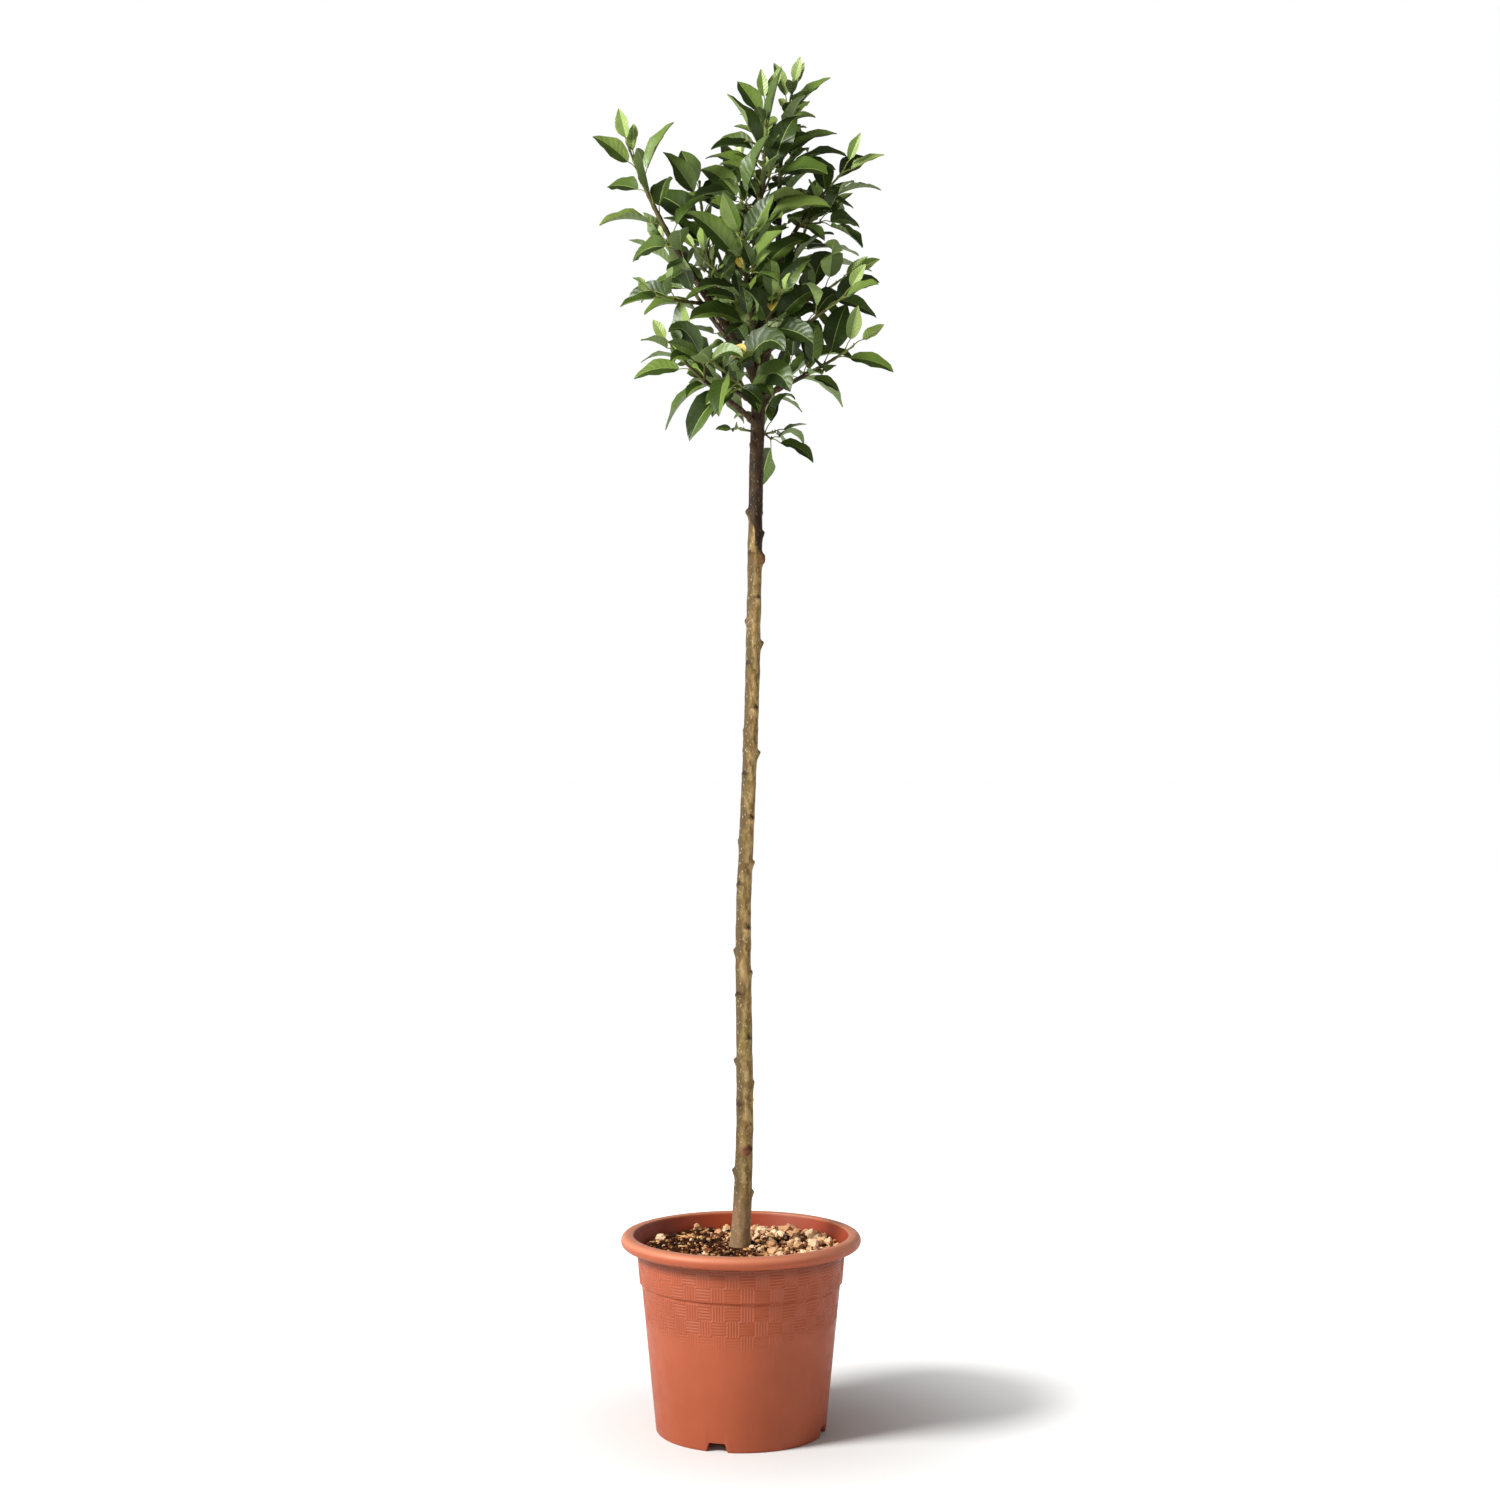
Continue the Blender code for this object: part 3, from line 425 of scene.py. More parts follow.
def soil_height(x, y):
    """The soil's level: a low mound towards the trunk, lumps of three sizes and a hollow at the wall."""
    flat = np.stack([x, y, 0 * x], axis=-1)
    reach = np.hypot(x, y)
    mound = MOUND_HEIGHT * np.exp(-((reach / MOUND_REACH) ** 2))
    lumps = sum(tall * waves(flat, size, seed) for tall, size, seed in SOIL_LUMPS)
    calm = np.clip((reach - 0.012) / 0.03, 0.25, 1)
    return SOIL_TOP + mound + lumps * calm - HOLLOW_DEPTH * np.clip((reach - 0.125) / 0.011, 0, 1)


reach = SOIL_RADIUS * np.linspace(1, 0.02, SOIL_RINGS)[:, None]
turns = np.arange(SOIL_COLUMNS) * 2 * math.pi / SOIL_COLUMNS
x, y = reach * np.cos(turns), reach * np.sin(turns)
level = np.stack([x, y, soil_height(x, y)], axis=-1)
foot = np.stack([0.955 * x[0], 0.955 * y[0], np.full(SOIL_COLUMNS, SOIL_TOP - SOIL_DEPTH)], axis=-1)
soil_points = np.vstack([foot[None], level]).reshape(-1, 3)
soil_points = np.vstack([soil_points, [(0, 0, SOIL_TOP + 0.003), (0, 0, SOIL_TOP - SOIL_DEPTH)]])
soil_finish, tree, shader = new_finish("potting_mix", 0.95, 0.08)
clods = ramp(tree, noise(tree, 0.006, 6), 0.38, 0.66)
tree.links.new(mixed(tree, clods, *SOIL_TONES), shader.inputs["Base Color"])
bumped(tree, shader, noise(tree, 0.003, 8), 0.0018)
soil_faces = closed_faces(SOIL_RINGS + 1, SOIL_COLUMNS)
make_piece("potting_soil", soil_points, soil_faces, [soil_finish], ["soil"])


def strewn(rng, count, share_of, sizes):
    """Stones' places (x, y) at random, kept by a chance that depends on the place, and their sizes."""
    reach = STREWN_RADIUS * np.sqrt(rng.uniform(0.02, 1, 40 * count))
    turn = rng.uniform(0, 2 * math.pi, 40 * count)
    x, y = reach * np.cos(turn), reach * np.sin(turn)
    kept = rng.uniform(0, 1, len(x)) < share_of(x, y)
    x, y = x[kept][:count], y[kept][:count]
    return x, y, rng.uniform(*sizes, len(x)) * rng.uniform(0.8, 1.1, len(x))


def stone_skin(columns, rings):
    """A ball's points, on rings between two poles, and its faces: the body of every stone and chip."""
    climb = np.linspace(-1, 1, rings + 2)[1:-1, None] * math.pi / 2
    turn = np.arange(columns) * 2 * math.pi / columns + np.arange(rings)[:, None] * 0.4
    wide = np.cos(climb)
    ring = np.stack([wide * np.cos(turn), wide * np.sin(turn), np.sin(climb) + 0 * turn], axis=-1)
    points = np.vstack([ring.reshape(-1, 3), [(0, 0, -1), (0, 0, 1)]])
    return points, closed_faces(rings, columns, upper=1)


def scatter(name, finishes, groups, columns, rings):
    """Joins many stones into one piece.

    A group is (x, y, size, proportions, roughness, finish numbers, share of the height that is sunk).
    """
    skin, faces = stone_skin(columns, rings)
    rng = np.random.default_rng(len(name))
    points, tones = [], []
    for x, y, size, proportions, rough, tone, sunk in groups:
        count = len(x)
        spread_out = 1 + rough * rng.normal(size=(count, len(skin), 1)).clip(-1.6, 1.6)
        shape = skin[None] * spread_out * np.array(proportions) * size[:, None, None] / 2
        turn, tilt = rng.uniform(0, 2 * math.pi, count), rng.normal(0, 0.35, count)
        c, s, zero, one = np.cos(turn), np.sin(turn), np.zeros(count), np.ones(count)
        about = np.stack([c, -s, zero, s, c, zero, zero, zero, one], axis=-1).reshape(-1, 3, 3)
        c, s = np.cos(tilt), np.sin(tilt)
        over = np.stack([one, zero, zero, zero, c, -s, zero, s, c], axis=-1).reshape(-1, 3, 3)
        shape = np.einsum("nij,njk,npk->npi", about, over, shape)
        inward = np.minimum(1, (STREWN_RADIUS - 0.55 * size) / np.hypot(x, y))  # off the pot's wall
        x, y = x * inward, y * inward
        centre = np.stack([x, y, soil_height(x, y) + (0.5 - sunk) * proportions[2] * size], axis=-1)
        points.append((shape + centre[:, None]).reshape(-1, 3))
        tones.append(np.broadcast_to(tone, count))
    points = np.vstack(points)
    shift = np.arange(len(points) // len(skin))[:, None, None] * len(skin)
    faces = [(part[None] + shift).reshape(-1, part.shape[1]) for part in faces]
    tones = np.concatenate([np.repeat(np.concatenate(tones), len(part) // len(shift)) for part in faces])
    make_piece(name, points, faces, finishes, ["soil"], tones=tones, crease=28)


def plain_finishes(kind, tones, roughness, grain, depth):
    """One finish for each tone: a plain colour with a fine grain in its relief."""
    finishes = []
    for number, tone in enumerate(tones):
        finish, tree, shader = new_finish(f"{kind}_{number + 1}", roughness, 0.15)
        shader.inputs["Base Color"].default_value = paint(tone)
        bumped(tree, shader, noise(tree, grain, 4), depth)
        finishes.append(finish)
    return finishes


rng = np.random.default_rng(21)


def bare_ring(x, y):
    """Nothing lies close round the trunk."""
    return np.hypot(x, y) > BARE_RADIUS


def pale_side(x, y):
    """The chance of pumice: sure on the right and the right back, rare on the left."""
    return bare_ring(x, y) * np.clip(0.10 + 6.5 * x + 3.0 * y, 0.030, 0.8)


def dark_side(x, y):
    """The chance of bark: sure on the left, rare among the pumice."""
    return bare_ring(x, y) * np.clip(0.8 - 4.0 * x, 0.4, 1)


def grit_side(x, y):
    """The chance of grit: it lies all over, and thicker on the right."""
    return bare_ring(x, y) * np.clip(0.30 + 3 * x, 0.1, 1)


stones = []
for count, sizes, proportions, sunk in (
    (74, (0.011, 0.018), (1.0, 0.80, 0.72), 0.14),
    (170, (0.005, 0.009), (1.0, 0.85, 0.80), 0.10),
):
    x, y, size = strewn(rng, count, pale_side, sizes)
    stones.append((x, y, size, proportions, 0.19, rng.integers(0, 3, len(x)), sunk))
pumice_finishes = plain_finishes("pumice_tone", PUMICE_TONES, 0.9, 0.0016, 0.0011)
scatter("pumice", pumice_finishes, stones, 7, 4)

chips = []
for count, sizes, proportions, rough in (
    (260, (0.007, 0.018), (1.0, 0.50, 0.30), 0.18),
    (60, (0.018, 0.034), (1.0, 0.13, 0.10), 0.10),
    (800, (0.003, 0.009), (1.0, 0.70, 0.55), 0.20),
):
    x, y, size = strewn(rng, count, dark_side, sizes)
    chips.append((x, y, size, proportions, rough, rng.choice(3, len(x), p=CHIP_SHARES), 0.15))
chip_finishes = plain_finishes("bark_chip_tone", CHIP_TONES, 0.9, 0.0012, 0.0007)
scatter("bark_chips", chip_finishes, chips, 5, 3)

x, y, size = strewn(rng, 1500, grit_side, (0.002, 0.0045))
grit = [(x, y, size, (1.0, 0.9, 0.8), 0.12, rng.integers(0, 3, len(x)), 0.1)]
grit_finishes = plain_finishes("grit_tone", (PUMICE_TONES[1], *CHIP_TONES[:2]), 0.9, 0.001, 0.0004)
scatter("grit", grit_finishes, grit, 5, 2)


# Trunk. One young stem of living wood, rooted in the soil. Its smooth olive bark has pale breathing pores,
# a knob and a dark bud at every old leaf joint and two pruned knobs. High up it is darker, partly its own
# darker bark and partly painted shadow of the crown, and its left side has painted shade.
TRUNK_FOOT = (-0.0013, 0.0, 0.2437)
TRUNK_LINE = 1.518
TRUNK_LENGTH = 1.302  # the rest of its line is the stem of the top mass
LINE_STEP = 0.004  # from point to point on the line of any shoot
TRUNK_LEAN = (3.5, 1.5, -1.0, -0.5, 2.6, 2.4, 1.5, 0.8, 1.2, 2.2, -5.0, 9.0, -2.0)
TRUNK_HEIGHTS = (0.244, 0.310, 0.390, 0.570, 0.760, 1.150, 1.370, 1.420, 1.490, 1.545, 1.800)
TRUNK_RADII = (0.0128, 0.0123, 0.0115, 0.0105, 0.0098, 0.0094, 0.0095, 0.0082, 0.0065, 0.0048, 0.0013)
FLARE = 0.0024
FLARE_HEIGHT = 0.012
TRUNK_COLUMNS = 48
BARK_RADIUS = 0.0105  # turns round the trunk count as lengths at this radius
TRUNK_ROW = 0.0018
JOINT_FOOT = 0.3157
JOINT_STEP = 0.02933
JOINTS = 35
JOINT_START = math.radians(12)
LEAF_TURN = math.radians(144)
KNOB = 0.0036  # how far a joint's knob stands out
KNOB_SHAPE = (0.0080, 0.0024, 0.0046)  # how far it reaches down, up and to each side
SCAR_SHAPE = (0.0018, 0.0018, 0.0070)
BUD_SHAPE = (0.0026, 0.0028, 0.0025)
PRUNED_SHAPE = (0.0085, 0.0060, 0.0056)
PRUNED_KNOBS = ((0.374, -74, 0.0042), (1.161, -12, 0.0046))  # height, degrees round, how far out
RINGS = ((1.221, 0.0009), (0.438, 0.0006), (0.905, 0.0004))  # the scars of a year's growth
RING_REACH = 0.0022
DARK_AND_SHADOW_FROM = 1.188  # the height in front where the bark turns darker, partly its own colour and partly painted shadow of the crown; the edge climbs to the left
DARK_AND_SHADOW_SLOPE = 0.030
BARK_TONES = ((113, 89, 49), (154, 129, 84), (104, 93, 45))  # olive, straw, green
LEFT_SHADE_TONE = (82, 67, 42)  # painted shade: the left side is darker and greyer
FOOT_TONE = (150, 119, 89)  # the bark just over the soil
FOOT_HEIGHTS = (0.335, 0.275)  # where that tone starts, going down, and is full
BLOTCH_TONE = (84, 61, 36)
SCAR_TONE = (60, 38, 24)  # where a leaf hung
PRUNED_TONE = (102, 60, 38)
# the darker bark high on the trunk: partly its own colour, partly painted shadow of the crown
DARK_AND_SHADOW_TONES = ((34, 24, 11), (54, 39, 21))
PORE_TONE = (179, 166, 128)
PORE_SIZES = (0.0034, 0.0034, 0.0052)
BUD_TONE = (43, 30, 19)
BARK_RELIEF = 0.0005


def unit(vectors):
    """The same directions, each of length 1."""
    return vectors / np.linalg.norm(vectors, axis=-1, keepdims=True)


def grow_line(start, length, headings, climbs):
    """A curve from a start point, its heading and climb changing evenly from each angle to the next."""
    steps = np.linspace(0, 1, max(int(length / LINE_STEP), 8) + 1)
    turn = np.radians(np.interp(steps, np.linspace(0, 1, len(headings)), headings))
    climb = np.radians(np.interp(steps, np.linspace(0, 1, len(climbs)), climbs))
    way = np.stack([np.cos(climb) * np.cos(turn), np.cos(climb) * np.sin(turn), np.sin(climb)], axis=1)
    moves = (way[1:] + way[:-1]) / 2 * length / (len(steps) - 1)
    return np.array(start) + np.vstack([np.zeros(3), np.cumsum(moves, axis=0)])


def place_on(line, length, distance):
    """The points at these distances along a line."""
    known = np.linspace(0, length, len(line))
    return np.stack([np.interp(distance, known, line[:, i]) for i in range(3)], axis=-1)


def way_on(line, length, distance):
    """The directions at these distances along a line."""
    low = np.clip(distance, 0, length - LINE_STEP)
    return unit(place_on(line, length, low + LINE_STEP) - place_on(line, length, low))


def trunk_radius(height):
    """The trunk's radius at a height, with its root flare, and without its knobs."""
    flare = FLARE * np.exp(-(height - TRUNK_FOOT[2]) / FLARE_HEIGHT)
    return np.interp(height, TRUNK_HEIGHTS, TRUNK_RADII) + flare


def swelling(height, turn, at, way, low, high, wide):
    """A knob's share at points of the trunk: a bell that reaches so far down, up and to each side."""
    above = height - at
    bell = np.exp(-((above / np.where(above < 0, low, high)) ** 2))
    apart = (turn - way + math.pi) % (2 * math.pi) - math.pi
    return bell * np.exp(-((apart * BARK_RADIUS / wide) ** 2))


TRUNK = grow_line(TRUNK_FOOT, TRUNK_LINE, (0, 0), [90 - lean for lean in TRUNK_LEAN])
trunk_top = place_on(TRUNK, TRUNK_LINE, TRUNK_LENGTH)[2]
height = np.append(np.arange(TRUNK_FOOT[2], trunk_top, TRUNK_ROW), trunk_top)[:, None]
turn = np.arange(TRUNK_COLUMNS)[None] * 2 * math.pi / TRUNK_COLUMNS
radius = trunk_radius(height) + 0 * turn
bud = np.zeros_like(radius)
scar = np.zeros_like(radius)
for number in range(JOINTS):
    at = JOINT_FOOT + JOINT_STEP * number
    way = JOINT_START + (4 * number % 10) * math.pi / 5
    out = KNOB * (1 + 0.4 * math.sin(2.3 * number))
    radius += out * swelling(height, turn, at, way, *KNOB_SHAPE)
    scar = np.maximum(scar, swelling(height, turn, at + 0.0006, way, *SCAR_SHAPE))
    bud = np.maximum(bud, swelling(height, turn, at + 0.0026, way, *BUD_SHAPE))
pruned = np.zeros_like(radius)
for at, way, out in PRUNED_KNOBS:
    knob = swelling(height, turn, at, math.radians(way), *PRUNED_SHAPE)
    radius += out * np.clip(1.5 * knob, 0, 1)
    pruned = np.maximum(pruned, np.clip(1.4 * knob, 0, 1))
for at, out in RINGS:
    radius += out * np.exp(-(((height - at) / RING_REACH) ** 2))
middle = place_on(TRUNK, TRUNK_LINE, height[:, 0] - TRUNK_FOOT[2])
around = np.stack([np.cos(turn) + 0 * height, np.sin(turn) + 0 * height], axis=-1)
drawn_out = np.broadcast_to(height[..., None] * 0.35, (*radius.shape, 1))  # lumps longer than wide
flat = np.concatenate([BARK_RADIUS * around, drawn_out], axis=-1)
radius += 0.00030 * waves(flat, 0.009, 11) + 0.00012 * waves(flat, 0.0035, 12)
level = middle[:, None, :2] + radius[..., None] * around
trunk_points = np.concatenate([level, np.broadcast_to(height[..., None], (*radius.shape, 1))], axis=-1)
# painted shade: the trunk's left side is darker
left_shade = np.clip((0.2 * waves(flat, 0.02, 14) - around[..., 0]) / 0.6, 0, 1)
# above an edge that climbs to the left the bark is darker, partly its own colour and partly painted shadow
# of the crown
dark_and_shadow_edge = DARK_AND_SHADOW_FROM - DARK_AND_SHADOW_SLOPE * around[..., 0] + 0.006 * waves(flat, 0.012, 13)
dark_and_shadow = np.clip((height - dark_and_shadow_edge) / 0.004 + 0.5, 0, 1)
trunk_faces = closed_faces(len(height), TRUNK_COLUMNS)
ends = [(*middle[-1, :2], trunk_top), TRUNK_FOOT]
trunk_points = np.vstack([trunk_points.reshape(-1, 3), ends])
marks = {"bud": bud, "scar": scar, "pruned": pruned, "dark_and_shadow": dark_and_shadow, "left_shade": left_shade}
marks = {mark: np.append(share.ravel(), (0, 0)) for mark, share in marks.items()}

bark, tree, shader = new_finish("young_bark", 0.68, 0.16)
patches = ramp(tree, noise(tree, 0.007, 5, (1, 1, 2.5)), 0.38, 0.62)
green = ramp(tree, noise(tree, 0.05, 3, (1, 1, 3)), 0.50, 0.72, 0.0, 0.8)
colour = mixed(tree, green, mixed(tree, patches, *BARK_TONES[:2]), BARK_TONES[2])
pores = tree.nodes.new("ShaderNodeTexVoronoi")
pores.inputs["Scale"].default_value = 1.0
scaled = tree.nodes.new("ShaderNodeMapping")
scaled.inputs["Scale"].default_value = [1 / size for size in PORE_SIZES]
tree.links.new(tree.nodes.new("ShaderNodeTexCoord").outputs["Object"], scaled.inputs["Vector"])
tree.links.new(scaled.outputs[0], pores.inputs["Vector"])
pore = ramp(tree, pores.outputs["Distance"], 0.38, 0.20)
some = ramp(tree, noise(tree, 0.006, 2), 0.45, 0.54)
pore = maths(tree, "MULTIPLY", pore, some)
# painted shade: the trunk's left side is darker and greyer
colour = mixed(tree, attribute_of(tree, "left_shade"), colour, LEFT_SHADE_TONE)
blotch = ramp(tree, noise(tree, 0.0055, 6, (1, 1, 1.8)), 0.52, 0.66, 0.0, 0.75)
colour = mixed(tree, blotch, colour, BLOTCH_TONE)
split = tree.nodes.new("ShaderNodeSeparateXYZ")
tree.links.new(tree.nodes.new("ShaderNodeTexCoord").outputs["Object"], split.inputs[0])
foot = ramp(tree, split.outputs["Z"], *FOOT_HEIGHTS, 0.0, 0.6)
colour = mixed(tree, foot, colour, FOOT_TONE)
# darker bark high up, partly its own colour and partly painted shadow of the crown
dark_and_shadow_colour = mixed(tree, patches, *DARK_AND_SHADOW_TONES)
colour = mixed(tree, attribute_of(tree, "dark_and_shadow"), colour, dark_and_shadow_colour)
seen = maths(tree, "SUBTRACT", 0.48, maths(tree, "MULTIPLY", attribute_of(tree, "dark_and_shadow"), 0.33))
colour = mixed(tree, maths(tree, "MULTIPLY", pore, seen), colour, PORE_TONE)
colour = mixed(tree, attribute_of(tree, "pruned"), colour, PRUNED_TONE)
colour = mixed(tree, attribute_of(tree, "scar"), colour, SCAR_TONE)
colour = mixed(tree, attribute_of(tree, "bud"), colour, BUD_TONE)
tree.links.new(colour, shader.inputs["Base Color"])
fibre = maths(tree, "MULTIPLY", noise(tree, 0.0016, 4, (1, 1, 7)), 0.8)
bumped(tree, shader, maths(tree, "ADD", fibre, maths(tree, "MULTIPLY", pore, 0.5)), BARK_RELIEF)
make_piece("trunk_bark", trunk_points, trunk_faces, [bark], ["trunk"], marks=marks, crease=50)


# Boughs. Dark brown wood of last year's growth, thicker at the collar where each leaves its parent, with
# small ridges and buds. Each ends where its mass of leaves begins.
SHOOT_TIP_RADIUS = 0.0011
COLLAR = 0.25  # a bough is this much thicker where it leaves its parent
COLLAR_LENGTH = 0.008
BOUGH_COLUMNS = 18
BOUGH_ROW = 0.0020
BOUGH_START = 0.003  # its skin starts this far up its line, inside its parent
FIRST_BUD, LAST_BUD, BUD_GAP = 0.016, 0.006, 0.017  # from its foot, from its end, and from bud to bud
BUD_OUT = 0.0011
BUD_REACH = (0.0050, 0.0018)  # how far a bud's ridge reaches down and up
BUD_TURN = 0.55  # and to each side, in radians
BOUGH_TONES = ((49, 35, 22), (74, 55, 37))


@dataclass
class Limb:
    """A shoot that leaves its parent. Its first part is a bough, and the rest is the stem of a mass."""

    parent: str
    at: float  # how far up its parent's line it starts
    length: float
    bough: float  # the length of the part that is a bough
    radius: float
    headings: tuple  # degrees round from +X, evenly spaced along it
    climbs: tuple  # degrees above level, evenly spaced along it
    phase: float  # degrees, the turn of its first leaf
    big: float = 1.0  # how large its leaves are
    droop: float = 1.0  # how far they arch down
    most: int = 99  # the most leaf joints that it has


LIMBS = {
    "left": Limb(
        "trunk", 1.144, 0.366, 0.165, 0.0068,
        (206, 199, 193, 175, 169), (68, 52, 57, 64, 70), 120, 0.9, 0.75,
    ),
    "right": Limb(
        "trunk", 1.157, 0.396, 0.195, 0.0062,
        (29, 43, 95, 0, -30, -17), (70, 75, 84, 90, 84, 74), 340, 0.93, 0.94,
    ),
    "left_inner": Limb(
        "left", 0.078, 0.225, 0.045, 0.0038, (132, 141, 144, 178), (62, 68, 82, 86), 250, 1.15, 0.75
    ),
    "right_side": Limb(
        "right", 0.165, 0.150, 0.045, 0.0036, (-29, -21, -18, -15), (62, 54, 46, 46), 180, 1, 0.75
    ),
    "front": Limb(
        "trunk", 1.166, 0.190, 0.0, 0.0032, (-103, -108, -112, -92), (60, 61, 66, 80), 350, 1.12, 0.75
    ),
    "low_left": Limb(
        "trunk", 1.094, 0.160, 0.070, 0.0042, (215, 212, 208, 201), (37, 30, 36, 46), 100, 0.85, 1.25
    ),
    "low_right": Limb("trunk", 1.130, 0.150, 0.058, 0.0040, (-29, -26, -18), (20, 22, 32), 110, 0.9, 0.9),
    "mid_right": Limb("trunk", 1.188, 0.150, 0.040, 0.0038, (-40, -38, -23), (18, 26, 32), 230, 1, 1.43),
    "mid_left": Limb("left", 0.128, 0.105, 0.0, 0.0030, (232, 230, 222), (-6, -4, 8), 90, 0.85, 1.43),
    "low_front": Limb(
        "trunk", 1.126, 0.125, 0.0, 0.0032, (-110, -126, -140), (16, 21, 20), 170, 1.15, 1.95
    ),
    "back": Limb(
        "trunk", 1.202, 0.280, 0.080, 0.0048, (102, 105, 102, 113), (54, 60, 74, 80), 0, 1.12, 0.75
    ),
    "back_right": Limb("trunk", 1.224, 0.225, 0.060, 0.0044, (66, 56, 46), (46, 52, 60), 50, 1.12, 0.75),
    "back_left": Limb(
        "trunk", 1.160, 0.272, 0.080, 0.0048, (123, 129, 141, 156), (38, 42, 52, 64), 250, 0.98, 1.04
    ),
    "low_back": Limb("trunk", 1.106, 0.165, 0.060, 0.0040, (78, 66, 52), (32, 33, 42), 340, 1.15, 1.56),
    "low_back_left": Limb(
        "trunk", 1.119, 0.158, 0.050, 0.0038, (123, 132, 143), (30, 26, 32), 330, 1.04, 1.56
    ),
    "inner_right": Limb("right", 0.095, 0.105, 0.0, 0.0028, (-12, -20, -28), (14, 24, 30), 250, 0.85, 1.04),
    "inner_front": Limb("trunk", 1.212, 0.090, 0.0, 0.0028, (-75, -70, -66), (24, 26, 30), 350, 0.93, 1.43),
    "inner_left": Limb("trunk", 1.252, 0.105, 0.0, 0.0028, (-140, -150, -165), (28, 34, 44), 70, 0.98, 1.3),
    "inner_back": Limb("trunk", 1.272, 0.090, 0.0, 0.0026, (110, 125, 140), (26, 32, 40), 200, 0.93, 0.75),
    "spur_right": Limb("trunk", 1.076, 0.045, 0.0, 0.0024, (73, 40), (28, 10), 70, 0.8, 1.76, 2),
    "spur_left": Limb("trunk", 1.084, 0.030, 0.0, 0.0020, (236, 205), (10, 0), 190, 0.5, 2.08, 2),
}


def cross_frame(way):
    """Two directions square to each way and to each other, steady along a gently bent line."""
    away = np.eye(3)[np.abs(np.atleast_2d(way).mean(axis=0)).argmin()]
    side = unit(np.cross(way, away))
    return side, np.cross(side, way)


def limb_radius(limb, distance):
    """A shoot's radius along it, with the collar at its foot."""
    share = np.clip(1 - np.asarray(distance) / limb.length, 0, 1)
    collar = 1 + COLLAR * np.exp(-np.asarray(distance) / COLLAR_LENGTH)
    return (SHOOT_TIP_RADIUS + (limb.radius - SHOOT_TIP_RADIUS) * share**0.85) * collar


def round_skin(line, length, distances, radii, columns):
    """A closed round skin on a line: radii[i, j] at each distance and turn, with a pole at each end."""
    middle = place_on(line, length, distances)
    side, other = cross_frame(way_on(line, length, distances))
    turns = np.arange(columns) * 2 * math.pi / columns
    ring = np.cos(turns)[:, None] * side[:, None, :] - np.sin(turns)[:, None] * other[:, None, :]
    skin = middle[:, None, :] + np.broadcast_to(radii, (len(distances), columns))[..., None] * ring
    return np.vstack([skin.reshape(-1, 3), middle[-1], middle[0]]), closed_faces(len(distances), columns)


LINES = {}
for limb_name, limb in LIMBS.items():
    if limb.parent == "trunk":
        base = place_on(TRUNK, TRUNK_LINE, limb.at)
    else:
        base = place_on(LINES[limb.parent], LIMBS[limb.parent].length, limb.at)
    LINES[limb_name] = grow_line(base, limb.length, limb.headings, limb.climbs)

old_wood, tree, shader = new_finish("old_wood", 0.70, 0.16)
streaks = ramp(tree, noise(tree, 0.007, 4), 0.38, 0.66)
flecks = ramp(tree, noise(tree, 0.0022, 2), 0.66, 0.72, 0.0, 0.6)
colour = mixed(tree, flecks, mixed(tree, streaks, *BOUGH_TONES), PORE_TONE)
tree.links.new(colour, shader.inputs["Base Color"])
bumped(tree, shader, noise(tree, 0.0014, 4), 0.0004)

for limb_name, limb in LIMBS.items():
    if not limb.bough:
        continue
    line = LINES[limb_name]
    distances = np.linspace(BOUGH_START, limb.bough, int(limb.bough / BOUGH_ROW) + 2)[:, None]
    turns = np.arange(BOUGH_COLUMNS)[None] * 2 * math.pi / BOUGH_COLUMNS
    radii = limb_radius(limb, distances) + 0 * turns
    for number, at in enumerate(np.arange(FIRST_BUD, limb.bough - LAST_BUD, BUD_GAP)):
        apart = (turns - number * LEAF_TURN + math.pi) % (2 * math.pi) - math.pi
        above = distances - at
        bell = np.exp(-((above / np.where(above < 0, *BUD_REACH)) ** 2))
        radii += BUD_OUT * bell * np.exp(-((apart / BUD_TURN) ** 2))
    flat = (0.004 * np.cos(turns), 0.004 * np.sin(turns), distances)
    flat = np.stack([part + 0 * radii for part in flat], axis=-1)
    radii += 0.00016 * waves(flat, 0.006, 31)
    points, faces = round_skin(line, limb.length, distances[:, 0], radii, BOUGH_COLUMNS)
    name = f"bough_{limb_name}"
    make_piece(f"{name}_wood", points, faces, [old_wood], [name], crease=50)


# Twigs. Every bough, and the trunk's own end, runs on as a brown to green shoot with short spurs and a
# leaf joint every 16 mm, two fifths of a turn on from the last. Stalks 2 cm long carry the leaves.
COLLAR_ROOT = 0.012  # how much of a shoot that has no bough lies inside its parent
LEAF_GAP = 0.0165
FIRST_LEAF = 0.012
SPUR_SHARE = 0.16  # of the lower leaf joints, the share that holds a spur
SPUR_LENGTH = 0.030
SPUR_RADIUS = 0.0017
SPUR_LEAVES = 3
SPUR_ZONE = 0.55  # spurs grow on this share of a mass's stem
STALK_LENGTH = 0.024
STALK_RADIUS = 0.0010
LEAF_LENGTH = 0.080
LEAF_WIDTH = 0.56  # as a share of its length
LEAF_BASE = 0.65  # how full the outline is towards the stalk
LEAF_POINT = 0.95  # how drawn out it is towards the tip
LEAF_LIFT = 0.30
FACE_OUT = 0.45  # how far leaves turn their upper face away from the middle of the crown
FACE_SUN = 0.60  # how far they turn it to the sun, which stands in front on the left
SUN = np.array((-0.35, -0.93, 0.0))
ROOM = 0.0075  # the least distance between leaves of two masses, from point to point
OWN_ROOM = 0.0045  # the same between leaves of one mass
LIMB_ROOM = 0.004  # between a leaf and a limb's surface
MOST_ROOM = 0.0185  # no piece keeps more than this from its middle line
SAMPLE_STEP = 0.010
